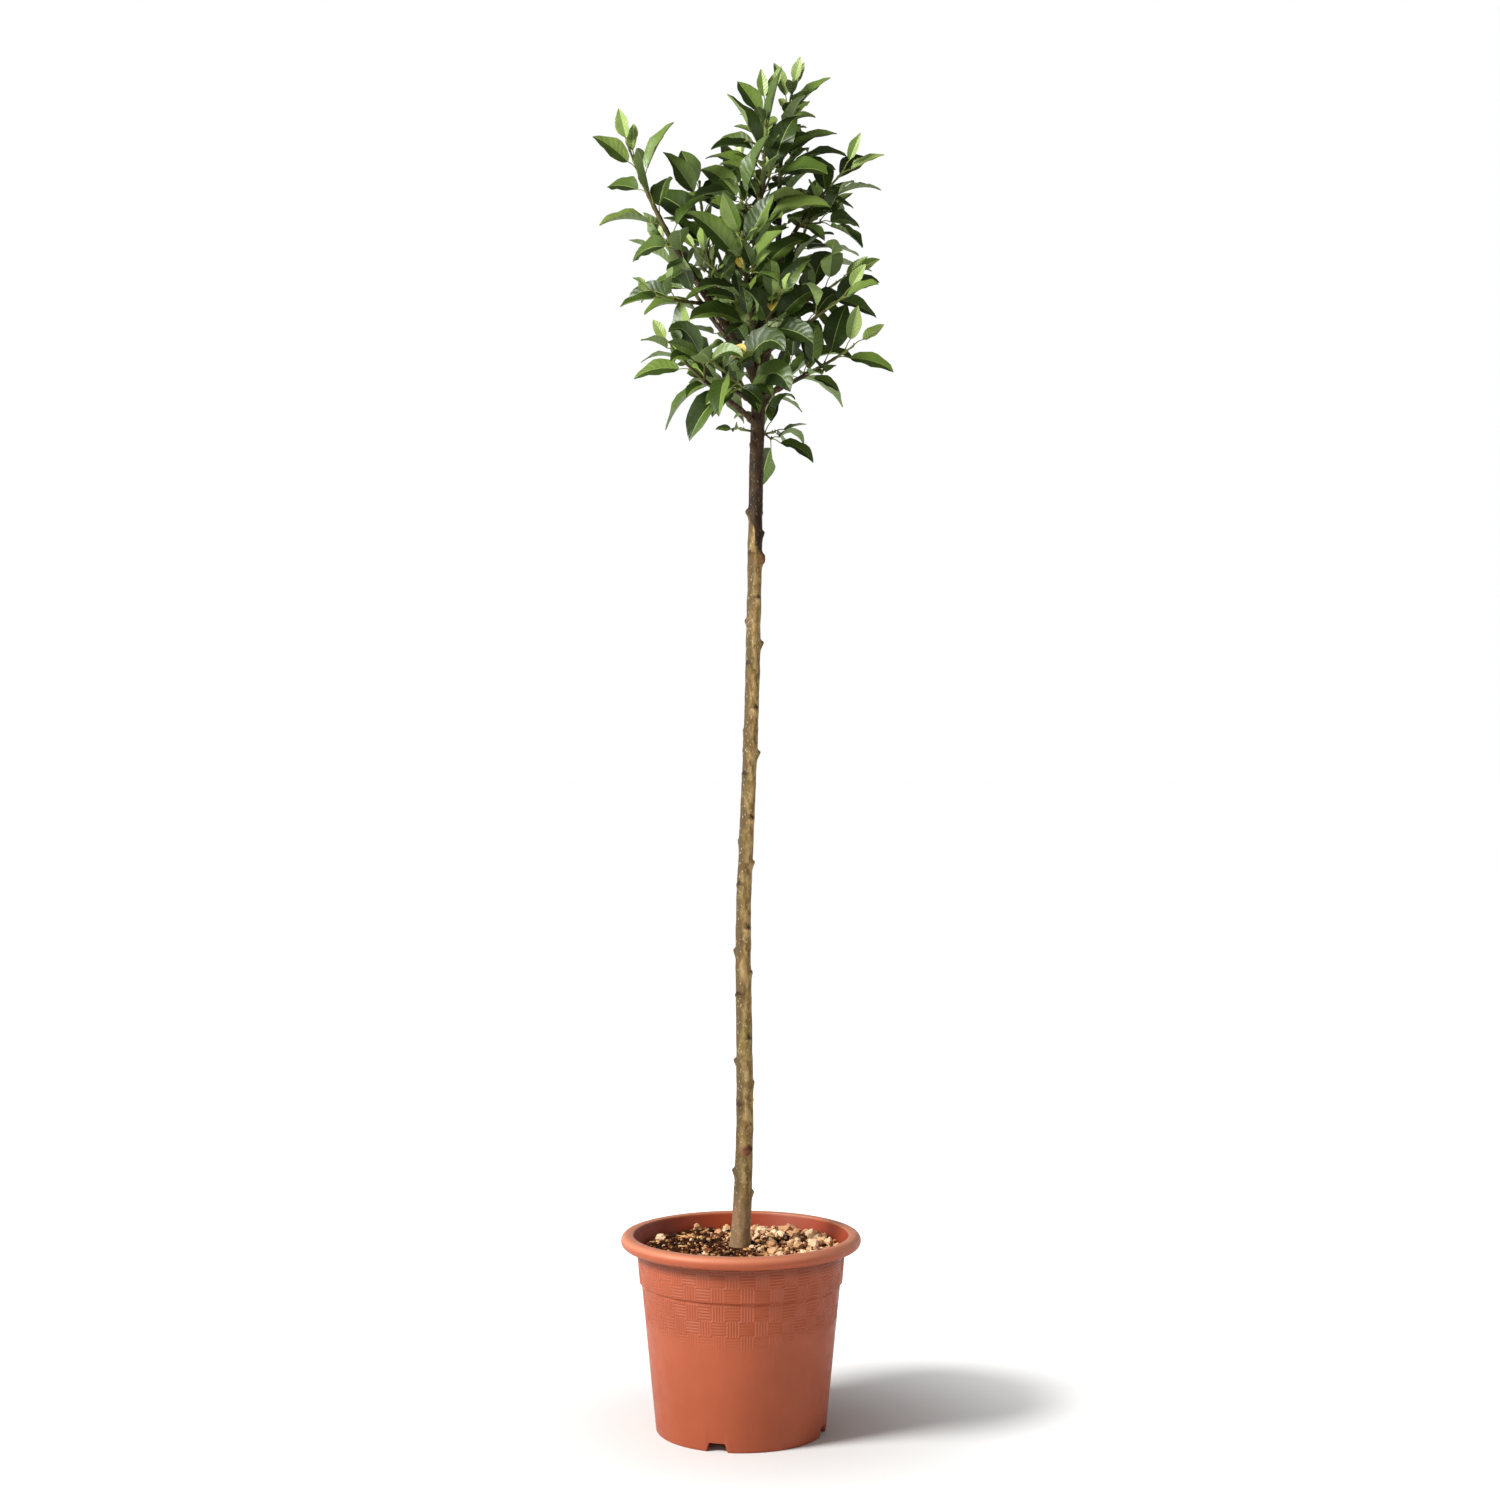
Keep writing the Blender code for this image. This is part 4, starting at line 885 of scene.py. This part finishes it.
TURNS_TRIED = (0, 15, -15, 30, -30, 46, -46, 64, -64)  # degrees
SIZES_TRIED = (1.0, 0.78)
FINE_SPURS = 0.35  # on the second round, the share of lower joints that hold a small spur
FINE_LENGTHS = (0.008, 0.020)
FINE_SIZES = (0.42, 0.72)
FINE_ROOM = 0.55  # small leaves may come this much nearer to their neighbours
CORE = 0.075  # they fill the crown only this far from its middle
UP = np.array((0.0, 0.0, 1.0))
TWIG_TONES = ((43, 33, 20), (69, 63, 32), (102, 113, 56))  # last year's wood, this year's, its green end
STALK_TONE = (113, 115, 58)
BUD_SIZE = 0.0032
SHOOT_COLUMNS, SPUR_COLUMNS, STALK_COLUMNS = 10, 7, 5
SHOOT_ROW = 0.0027
SHOOT_START = 0.0003  # its skin starts this far beyond its bough's end
NODE_OUT, NODE_REACH = 0.0006, 0.0026  # the swelling at each leaf joint
TONES_FROM = (0.30, 0.72)  # the shares up a shoot from which its second and third tones hold
SPUR_WIDTHS = (1.25, 1.0, 0.95, 1.0, 0.8)  # as shares of its radius, from foot to end
STALK_WIDTHS = (1.25, 0.85, 0.75, 0.75, 0.70)
STALK_ARCH = 0.12  # as a share of its length


@dataclass
class Leaf:
    """A leaf's own sizes: where its stalk and its blade start, and how the blade lies."""

    root: np.ndarray
    foot: np.ndarray
    heading: np.ndarray
    face: np.ndarray
    length: float
    width: float
    droop: float
    fold: float


def outline(along):
    """A leaf's half width along it as a share of its widest: an egg shape drawn out to a point."""
    widest = LEAF_BASE / (LEAF_BASE + LEAF_POINT)
    return (along / widest) ** LEAF_BASE * ((1 - along) / (1 - widest)) ** LEAF_POINT


def leaf_frames(leaf, along):
    """The midrib's points, and the directions across and out of the upper face there."""
    steps = np.linspace(0, 1, 21)
    way = unit(leaf.heading - leaf.droop * steps[:, None] ** 1.5 * UP)
    moves = (way[1:] + way[:-1]) / 2 * leaf.length / 20
    middle = leaf.foot + np.vstack([np.zeros(3), np.cumsum(moves, axis=0)])
    middle = np.stack([np.interp(along, steps, middle[:, i]) for i in range(3)], axis=-1)
    way = unit(np.stack([np.interp(along, steps, way[:, i]) for i in range(3)], axis=-1))
    side = unit(np.cross(way, leaf.face))
    return middle, side, np.cross(side, way)


def leaf_points(leaf, along, across):
    """Points on a leaf's upper face, at shares along it from 0 to 1 and across it from -1 to 1."""
    middle, side, out = leaf_frames(leaf, along)
    half = leaf.width / 2 * outline(along)
    fold = leaf.fold * (1 - 0.4 * along)
    lift = np.abs(across) * np.sin(fold) - 0.16 * across**2
    return middle + side * (across * half * np.cos(fold))[..., None] + out * (lift * half)[..., None]


def leaf_samples(leaf):
    """Points all over the leaf, to measure its distance to other pieces."""
    along, across = np.meshgrid(np.linspace(0.04, 1, 10), (-0.96, -0.5, 0.0, 0.5, 0.96))
    return np.vstack([leaf_points(leaf, along.ravel(), across.ravel()), (leaf.root + leaf.foot) / 2])


class Space:
    """The points that each piece takes up, so that a leaf keeps out of every other piece's space."""

    def __init__(self):
        self.points = np.zeros((0, 3))
        self.room = np.zeros(0)
        self.owner = np.zeros(0, int)
        self.is_leaf = np.zeros(0, bool)
        self.names = []

    def take(self, name, points, room, is_leaf=False):
        """Notes that this piece has these points, and how far others have to stay away from them."""
        if name not in self.names:
            self.names.append(name)
        self.points = np.vstack([self.points, points])
        self.room = np.concatenate([self.room, np.broadcast_to(room, len(points))])
        self.owner = np.concatenate([self.owner, np.full(len(points), self.names.index(name))])
        self.is_leaf = np.concatenate([self.is_leaf, np.full(len(points), is_leaf)])

    def is_free(self, name, points, share=1.0):
        """Whether the points keep clear of other pieces, and of the leaves of their own."""
        low, high = points.min(axis=0) - MOST_ROOM, points.max(axis=0) + MOST_ROOM
        near = ((self.points > low) & (self.points < high)).all(axis=1)
        own = self.owner[near] == self.names.index(name)
        room = share * np.where(own, OWN_ROOM * self.is_leaf[near], self.room[near])
        apart = np.linalg.norm(points[:, None] - self.points[None, near], axis=2)
        return bool((apart > room).all())


def make_leaf(root, way, turn, pitch, size, stalk, droop, rng):
    """A leaf on a shoot: at a point and direction of the shoot, turned round it and pitched out from it."""
    side, other = cross_frame(way)
    out = math.cos(turn) * side + math.sin(turn) * other
    heading = unit(math.cos(pitch) * way + math.sin(pitch) * out + LEAF_LIFT * UP)
    stalk_way = unit(math.cos(0.7 * pitch) * way + math.sin(0.7 * pitch) * out + 0.1 * UP)
    tilt = rng.uniform(-0.6, 0.6)
    outward = unit((root - CROWN_MIDDLE) * (1, 1, 0.3))
    face = unit(0.4 * way + 0.8 * UP + FACE_OUT * outward + FACE_SUN * SUN + tilt * np.cross(heading, UP))
    length = LEAF_LENGTH * size * rng.uniform(0.9, 1.1)
    width = length * LEAF_WIDTH * rng.uniform(0.88, 1.12)
    droop = droop * rng.uniform(0.7, 1.3)
    fold = rng.uniform(0.20, 0.60)
    return Leaf(root, root + stalk * stalk_way, heading, face, length, width, droop, fold)


def set_leaf(node, grown, rng, room, root, way, turn, pitch, size, stalk, droop, share):
    """Adds a leaf, with its share up the shoot, if there is room for it when turned or made smaller."""
    state = rng.bit_generator.state
    for scale, tried in ((scale, tried) for scale in SIZES_TRIED for tried in TURNS_TRIED):
        rng.bit_generator.state = state
        leaf = make_leaf(root, way, turn + math.radians(tried), pitch, scale * size, stalk, droop, rng)
        samples = leaf_samples(leaf)
        if SPACE.is_free(node, samples, room):
            SPACE.take(node, samples, ROOM, True)
            grown.append((leaf, share))
            return


def grow_mass(name, start, limb, line):
    """The leaves and spurs of one mass, from the seeded rule that its solid grows by too."""
    rng = np.random.default_rng(sum(map(ord, name)))
    node = "foliage_" + name
    grown, spurs = [], []
    first = (start or COLLAR_ROOT) + FIRST_LEAF
    joints = np.arange(first, limb.length, LEAF_GAP)[: limb.most]
    joints = np.append(joints, limb.length - 0.001)
    for number, distance in enumerate(joints):
        share = (distance - start) / (limb.length - start)
        root = place_on(line, limb.length, distance)
        way = way_on(line, limb.length, distance)
        turn = math.radians(limb.phase) + number * LEAF_TURN
        pitch = math.radians(np.interp(share, (0, 0.6, 0.93, 1), (74, 60, 34, 10)) + rng.uniform(-8, 8))
        size = limb.big * np.interp(share, (0, 0.3, 0.7, 0.93, 1), (0.86, 1.06, 0.92, 0.62, 0.42))
        droop = limb.droop * np.interp(share, (0, 0.6, 1), (1.25, 0.8, 0.2))
        stalk = STALK_LENGTH * (0.45 + 0.55 * size) * (1 if share < 1 else 0.4)
        holds_spur = rng.random() < SPUR_SHARE and share < SPUR_ZONE and limb.length > 0.1
        if not holds_spur:
            set_leaf(node, grown, rng, 1.0, root, way, turn, pitch, size, stalk, droop, share)
            continue
        side, other = cross_frame(way)
        spur_way = unit(way + 1.4 * (math.cos(turn) * side + math.sin(turn) * other) + 0.2 * UP)
        length = SPUR_LENGTH * rng.uniform(0.7, 1.3)
        spur = root + np.linspace(0, length, 3)[:, None] * spur_way
        if not SPACE.is_free(node, spur[1:]):
            continue
        SPACE.take(node, spur[1:], ROOM)
        spurs.append((spur, length, SPUR_RADIUS, share))
        root = spur[-1] - 2 * STALK_RADIUS * spur_way
        pitch = math.radians(52)
        for leaf_number in range(SPUR_LEAVES):
            leaf_turn = turn + leaf_number * 2 * math.pi / SPUR_LEAVES
            sizes = (0.8 * size, 0.8 * stalk, droop)
            set_leaf(node, grown, rng, 1.0, root, spur_way, leaf_turn, pitch, *sizes, share)
    return grown, spurs, joints


def grow_finer(name, start, limb, line, grown, spurs):
    """The second round: between the joints, small leaves and short spurs that close the crown's middle."""
    rng = np.random.default_rng(900 + sum(map(ord, name)))
    node = "foliage_" + name
    first = (start or COLLAR_ROOT) + FIRST_LEAF / 2
    joints = np.arange(first, limb.length - 0.012, LEAF_GAP / 2)[: 2 * limb.most]
    for number, distance in enumerate(joints):
        share = (distance - start) / (limb.length - start)
        root = place_on(line, limb.length, distance)
        if np.hypot(*(root - CROWN_MIDDLE)[:2]) > CORE:
            continue
        way = way_on(line, limb.length, distance)
        turn = math.radians(limb.phase + 70) + number * LEAF_TURN
        size = rng.uniform(*FINE_SIZES) * np.interp(share, (0, 0.6, 1), (1.1, 1.0, 0.6))
        droop = limb.droop * rng.uniform(0.4, 1.2)
        places = [(root, way, turn, 66)]
        if share < 0.7 and rng.random() < FINE_SPURS:
            side, other = cross_frame(way)
            spur_way = unit(way + 1.6 * (math.cos(turn) * side + math.sin(turn) * other) + 0.3 * UP)
            length = rng.uniform(*FINE_LENGTHS)
            spur = root + np.linspace(0, length, 3)[:, None] * spur_way
            if SPACE.is_free(node, spur[1:], FINE_ROOM):
                SPACE.take(node, spur[1:], ROOM)
                spurs.append((spur, length, 0.8 * SPUR_RADIUS, share))
                places = [(spur[-1] - 0.001 * spur_way, spur_way, turn + k * 2.1, 54) for k in range(3)]
        for root, way, turn, pitch in places:
            stalk = STALK_LENGTH * (0.25 + 0.5 * size)
            pitch = math.radians(pitch + rng.uniform(-14, 14))
            set_leaf(node, grown, rng, FINE_ROOM, root, way, turn, pitch, size, stalk, droop, share)


CROWN_MIDDLE = place_on(TRUNK, TRUNK_LINE, 1.20)
SPACE = Space()
steps = np.linspace(0, TRUNK_LENGTH, int(round(TRUNK_LENGTH / SAMPLE_STEP)) + 1)
thick = trunk_radius(TRUNK_FOOT[2] + steps) + LIMB_ROOM
SPACE.take("trunk", place_on(TRUNK, TRUNK_LINE, steps), thick)
count = int(round((TRUNK_LINE - TRUNK_LENGTH - SAMPLE_STEP / 2) / SAMPLE_STEP)) + 1
steps = np.linspace(TRUNK_LENGTH + SAMPLE_STEP / 2, TRUNK_LINE, count)
SPACE.take("foliage_top", place_on(TRUNK, TRUNK_LINE, steps), ROOM)
for limb_name, limb in LIMBS.items():
    count = max(int(round((limb.length - SAMPLE_STEP) / SAMPLE_STEP)), 1) + 1
    steps = np.linspace(SAMPLE_STEP, limb.length, count)
    where = place_on(LINES[limb_name], limb.length, steps)
    wide = limb_radius(limb, steps) + LIMB_ROOM
    on_bough = steps < limb.bough
    SPACE.take("bough_" + limb_name, where[on_bough], wide[on_bough])
    SPACE.take("foliage_" + limb_name, where[~on_bough], wide[~on_bough])

leader = Limb("trunk", 0.0, TRUNK_LINE, TRUNK_LENGTH, TRUNK_RADII[-2], (0,), (90,), 250, 1.15, 0.7)
shoots = {"top": (TRUNK_LENGTH, leader, TRUNK)}
shoots |= {limb_name: (limb.bough, limb, LINES[limb_name]) for limb_name, limb in LIMBS.items()}
masses = {limb_name: grow_mass(limb_name, *shoot) for limb_name, shoot in shoots.items()}
for limb_name, shoot in shoots.items():
    grow_finer(limb_name, *shoot, *masses[limb_name][:2])


def joined(parts):
    """Many (points, faces, finish number of each face) as one mesh's points, faces and finish numbers."""
    shift = np.cumsum([0] + [len(points) for points, _, _ in parts])
    sizes = sorted({faces.shape[1] for _, kinds, _ in parts for faces in kinds})
    points = np.vstack([points for points, _, _ in parts])
    found = {size: [] for size in sizes}
    tones = {size: [] for size in sizes}
    for (_, kinds, marks), by in zip(parts, shift):
        for faces, tone in zip(kinds, marks):
            found[faces.shape[1]].append(faces + by)
            tones[faces.shape[1]].append(np.broadcast_to(tone, len(faces)))
    faces = [np.concatenate(found[size]) for size in sizes]
    return points, faces, np.concatenate([np.concatenate(tones[size]) for size in sizes])


twig_finishes = plain_finishes("shoot_tone", (*TWIG_TONES, STALK_TONE), 0.5, 0.0015, 0.0002)
bud_skin, bud_faces = stone_skin(5, 2)
for limb_name, (start, limb, line) in shoots.items():
    grown, spurs, joints = masses[limb_name]
    is_top = limb_name == "top"
    count = int((limb.length - start) / SHOOT_ROW) + 2
    distances = np.linspace(start + SHOOT_START if start else BOUGH_START, limb.length, count)
    radii = trunk_radius(TRUNK_FOOT[2] + distances) if is_top else limb_radius(limb, distances)
    for joint in joints:
        radii += NODE_OUT * np.exp(-(((distances - joint) / NODE_REACH) ** 2))
    points, faces = round_skin(line, limb.length, distances, radii[:, None], SHOOT_COLUMNS)
    share = (distances[:-1] - start) / (limb.length - start)
    tone = np.repeat(np.searchsorted(TONES_FROM, share), SHOOT_COLUMNS)
    parts = [(points, faces, (tone, 2, tone[0]))]
    for spur, length, thick, share in spurs:
        reach = np.linspace(0, length, len(SPUR_WIDTHS))
        radii = thick * np.array(SPUR_WIDTHS)
        points, faces = round_skin(spur, length, reach, radii[:, None], SPUR_COLUMNS)
        parts.append((points, faces, (1, 1, 1)))
    for leaf, share in grown:
        stalk_way = leaf.foot - leaf.root
        length = float(np.linalg.norm(stalk_way))
        share_up = np.linspace(0, 1, len(STALK_WIDTHS))[:, None]
        bend = STALK_ARCH * length * np.sin(math.pi * share_up) * UP
        stalk = leaf.root + share_up * stalk_way + bend
        radii = STALK_RADIUS * np.array(STALK_WIDTHS)
        points, faces = round_skin(stalk, length, length * share_up[:, 0], radii[:, None], STALK_COLUMNS)
        parts.append((points, faces, (3, 3, 3)))
        bud = bud_skin * BUD_SIZE * (0.4, 0.4, 0.75)
        parts.append((bud + leaf.root + 0.12 * stalk_way + 0.0014 * UP, bud_faces, (1, 1, 1)))
    points, faces, tones = joined(parts)
    make_piece(
        f"twigs_{limb_name}", points, faces, twig_finishes, [f"foliage_{limb_name}"],
        tones=tones, crease=60,
    )


# Leaves. Egg-shaped with a drawn-out point, folded along a pale midrib and arching, bright above and
# greyish green below: dark and broad low on a shoot, yellow-green, narrow and upright at its end.
LEAF_ALONG = np.array((0.012, 0.07, 0.17, 0.28, 0.40, 0.52, 0.64, 0.75, 0.85, 0.93, 0.985))
LEAF_ACROSS = np.array((-1, -0.52, -0.032, 0.032, 0.52, 1, 0.045, -0.045))  # six above, two below
LEAF_BELOW = np.array((0, 0, 0, 0, 0, 0, 0.0011, 0.0011))
MARGIN_WAVE = 0.10  # the margin's waves up and down, as a share of the half width
MARGIN_TEETH = 0.055  # its waves in and out, in the blade's own plane, likewise
FOLD_MORE = 0.20  # radians; the finished blades are folded more sharply than the solid ones,
SUN_MORE = 0.40  # turned a little further to the sun,
BLADE_SHARE = 0.92  # and a little narrower
LIGHT_WAY = unit(np.array(LAMP_PLACE) - (0.0, 0.0, 1.6))  # from the crown to the lamp
VEIN_PAIRS = 8.0
VEIN_SLANT = 1.3
VEIN_STRAY = 0.7  # how far a vein strays, as a share of the room between two
LEAF_TONES = ((35, 49, 12), (47, 64, 18), (65, 84, 28), (88, 108, 42), (112, 131, 61), (132, 149, 82))
UNDER_TONE = (98, 115, 63)
RIB_TONE = (126, 139, 76)
UNDER_RIB_TONE = (137, 146, 95)
LEAF_RELIEF = 0.00027
FADED_TONE = (179, 154, 65)  # a few small leaves low on a shoot are turning yellow
FADED_LENGTH, FADED_SHARE, FADED_CHANCE = 0.034, 0.8, 0.3
YOUNG_LENGTH, FULL_LENGTH = 0.035, 0.055  # smaller leaves are paler, and larger ones darker


def leaf_finish(name, tone, roughness, depth):
    """A leaf's skin: a plain colour, with veins that slant up from the midrib and bulges between them."""
    finish, tree, shader = new_finish(name, roughness, 0.34)
    shader.inputs["Base Color"].default_value = paint(tone)
    place = tree.nodes.new("ShaderNodeSeparateXYZ")
    node = tree.nodes.new("ShaderNodeUVMap")
    node.uv_map = "along_the_leaf"
    tree.links.new(node.outputs[0], place.inputs[0])
    across = maths(tree, "ABSOLUTE", maths(tree, "SUBTRACT", place.outputs["X"], 0.5))
    slant = maths(tree, "MULTIPLY", across, 2 * VEIN_SLANT)
    phase = maths(tree, "SUBTRACT", maths(tree, "MULTIPLY", place.outputs["Y"], VEIN_PAIRS), slant)
    phase = maths(tree, "ADD", phase, maths(tree, "MULTIPLY", noise(tree, 0.012, 2), 2 * VEIN_STRAY))
    bulge = maths(tree, "ABSOLUTE", maths(tree, "SINE", maths(tree, "MULTIPLY", phase, math.pi)))
    quilt = maths(tree, "MULTIPLY", maths(tree, "POWER", bulge, 1.4), 0.8)
    net = maths(tree, "MULTIPLY", noise(tree, 0.0040, 2), 0.15)
    bumped(tree, shader, maths(tree, "ADD", quilt, net), depth)
    return finish


leaf_finishes = []
for number, tone in enumerate(LEAF_TONES):
    leaf_finishes.append(leaf_finish(f"leaf_tone_{number + 1}", tone, 0.40, LEAF_RELIEF))
leaf_finishes.append(leaf_finish("leaf_faded", FADED_TONE, 0.5, 0.00030))
leaf_finishes.append(leaf_finish("leaf_underside", UNDER_TONE, 0.60, -0.00045))
leaf_finishes += plain_finishes("midrib", (RIB_TONE, UNDER_RIB_TONE), 0.5, 0.001, 0.0001)
FADED, UNDER, RIB, UNDER_RIB = len(LEAF_TONES) + np.arange(4)
rows, columns = len(LEAF_ALONG), len(LEAF_ACROSS)
along, across = np.broadcast_arrays(LEAF_ALONG[:, None], LEAF_ACROSS[None])
blade_faces = closed_faces(rows, columns)
skin_faces = blade_faces[0].reshape(rows - 1, columns, 4)
skin_faces[:, 5:] = np.roll(skin_faces[:, 5:], -1, axis=-1)  # cut along the same diagonals as those above
blade_faces[0] = skin_faces.reshape(-1, 4)
leaf_uv = np.stack([0.5 + across / 2, along], axis=-1).reshape(-1, 2)
leaf_uv = np.vstack([leaf_uv, [(0.5, 1.0), (0.5, 0.0)]])


def blade(leaf):
    """A leaf's closed skin: the folded blade with a waved margin, and its underside a hair below it."""
    turned = replace(leaf, face=unit(leaf.face + SUN_MORE * SUN))
    middle, side, out = leaf_frames(turned, along)
    phase = 7.3 * along + 5 * leaf.fold + 0.3 * np.sign(across)
    teeth = MARGIN_TEETH * across**4 * np.sin(2 * math.pi * phase)
    half = BLADE_SHARE * leaf.width / 2 * outline(along) * (1 + teeth)
    fold = (FOLD_MORE + leaf.fold) * (1 - 0.4 * along)
    wave = MARGIN_WAVE * across**2 * np.sin(2 * math.pi * (2.3 * along + 9 * leaf.fold) + np.sign(across))
    lift = np.abs(across) * np.sin(fold) - 0.16 * across**2 + wave
    skin = middle + side * (across * half * np.cos(fold))[..., None]
    skin += out * (lift * half - LEAF_BELOW)[..., None]
    ends = leaf_points(leaf, np.array((1.0, 0.0)), np.zeros(2))
    return np.vstack([skin.reshape(-1, 3), ends])


rng, fading = np.random.default_rng(77), np.random.default_rng(2)
for limb_name in shoots:
    parts = []
    for leaf, share in masses[limb_name][0]:
        age = np.interp(share, (0, 0.45, 0.75, 1), (1.1, 1.9, 3.0, 4.2))
        young = 0.9 * (leaf.length < YOUNG_LENGTH) + 0.9 * (limb_name == "top")
        full = 0.9 * (leaf.length > FULL_LENGTH)
        palest = 1 if limb_name.startswith("spur") else len(LEAF_TONES) - 1 - 2 * (full > 0)
        tone = int(np.clip(round(age + young - full + rng.normal(0, 1.0)), 0, palest))
        if leaf.length < FADED_LENGTH and share < FADED_SHARE and fading.random() < FADED_CHANCE:
            tone = FADED
        # painted light and shade: the half that is folded towards the light is given a paler tone, and the
        # other a darker one
        shade = np.sign(leaf_frames(leaf, np.array((0.5,)))[1][0] @ LIGHT_WAY)
        left, right = np.clip((tone + shade, tone - shade), 0, FADED - 1)
        if tone == FADED:
            left = right = FADED
        column_tones = np.array((left, left, RIB, right, right, UNDER, UNDER_RIB, UNDER)).astype(int)
        tones = (np.tile(column_tones, rows - 1), column_tones, column_tones)
        parts.append((blade(leaf), blade_faces, tones))
    points, faces, tones = joined(parts)
    make_piece(
        f"leaves_{limb_name}", points, faces, leaf_finishes, [f"foliage_{limb_name}"],
        tones=tones, uv=np.tile(leaf_uv, (len(parts), 1)), crease=75,
    )
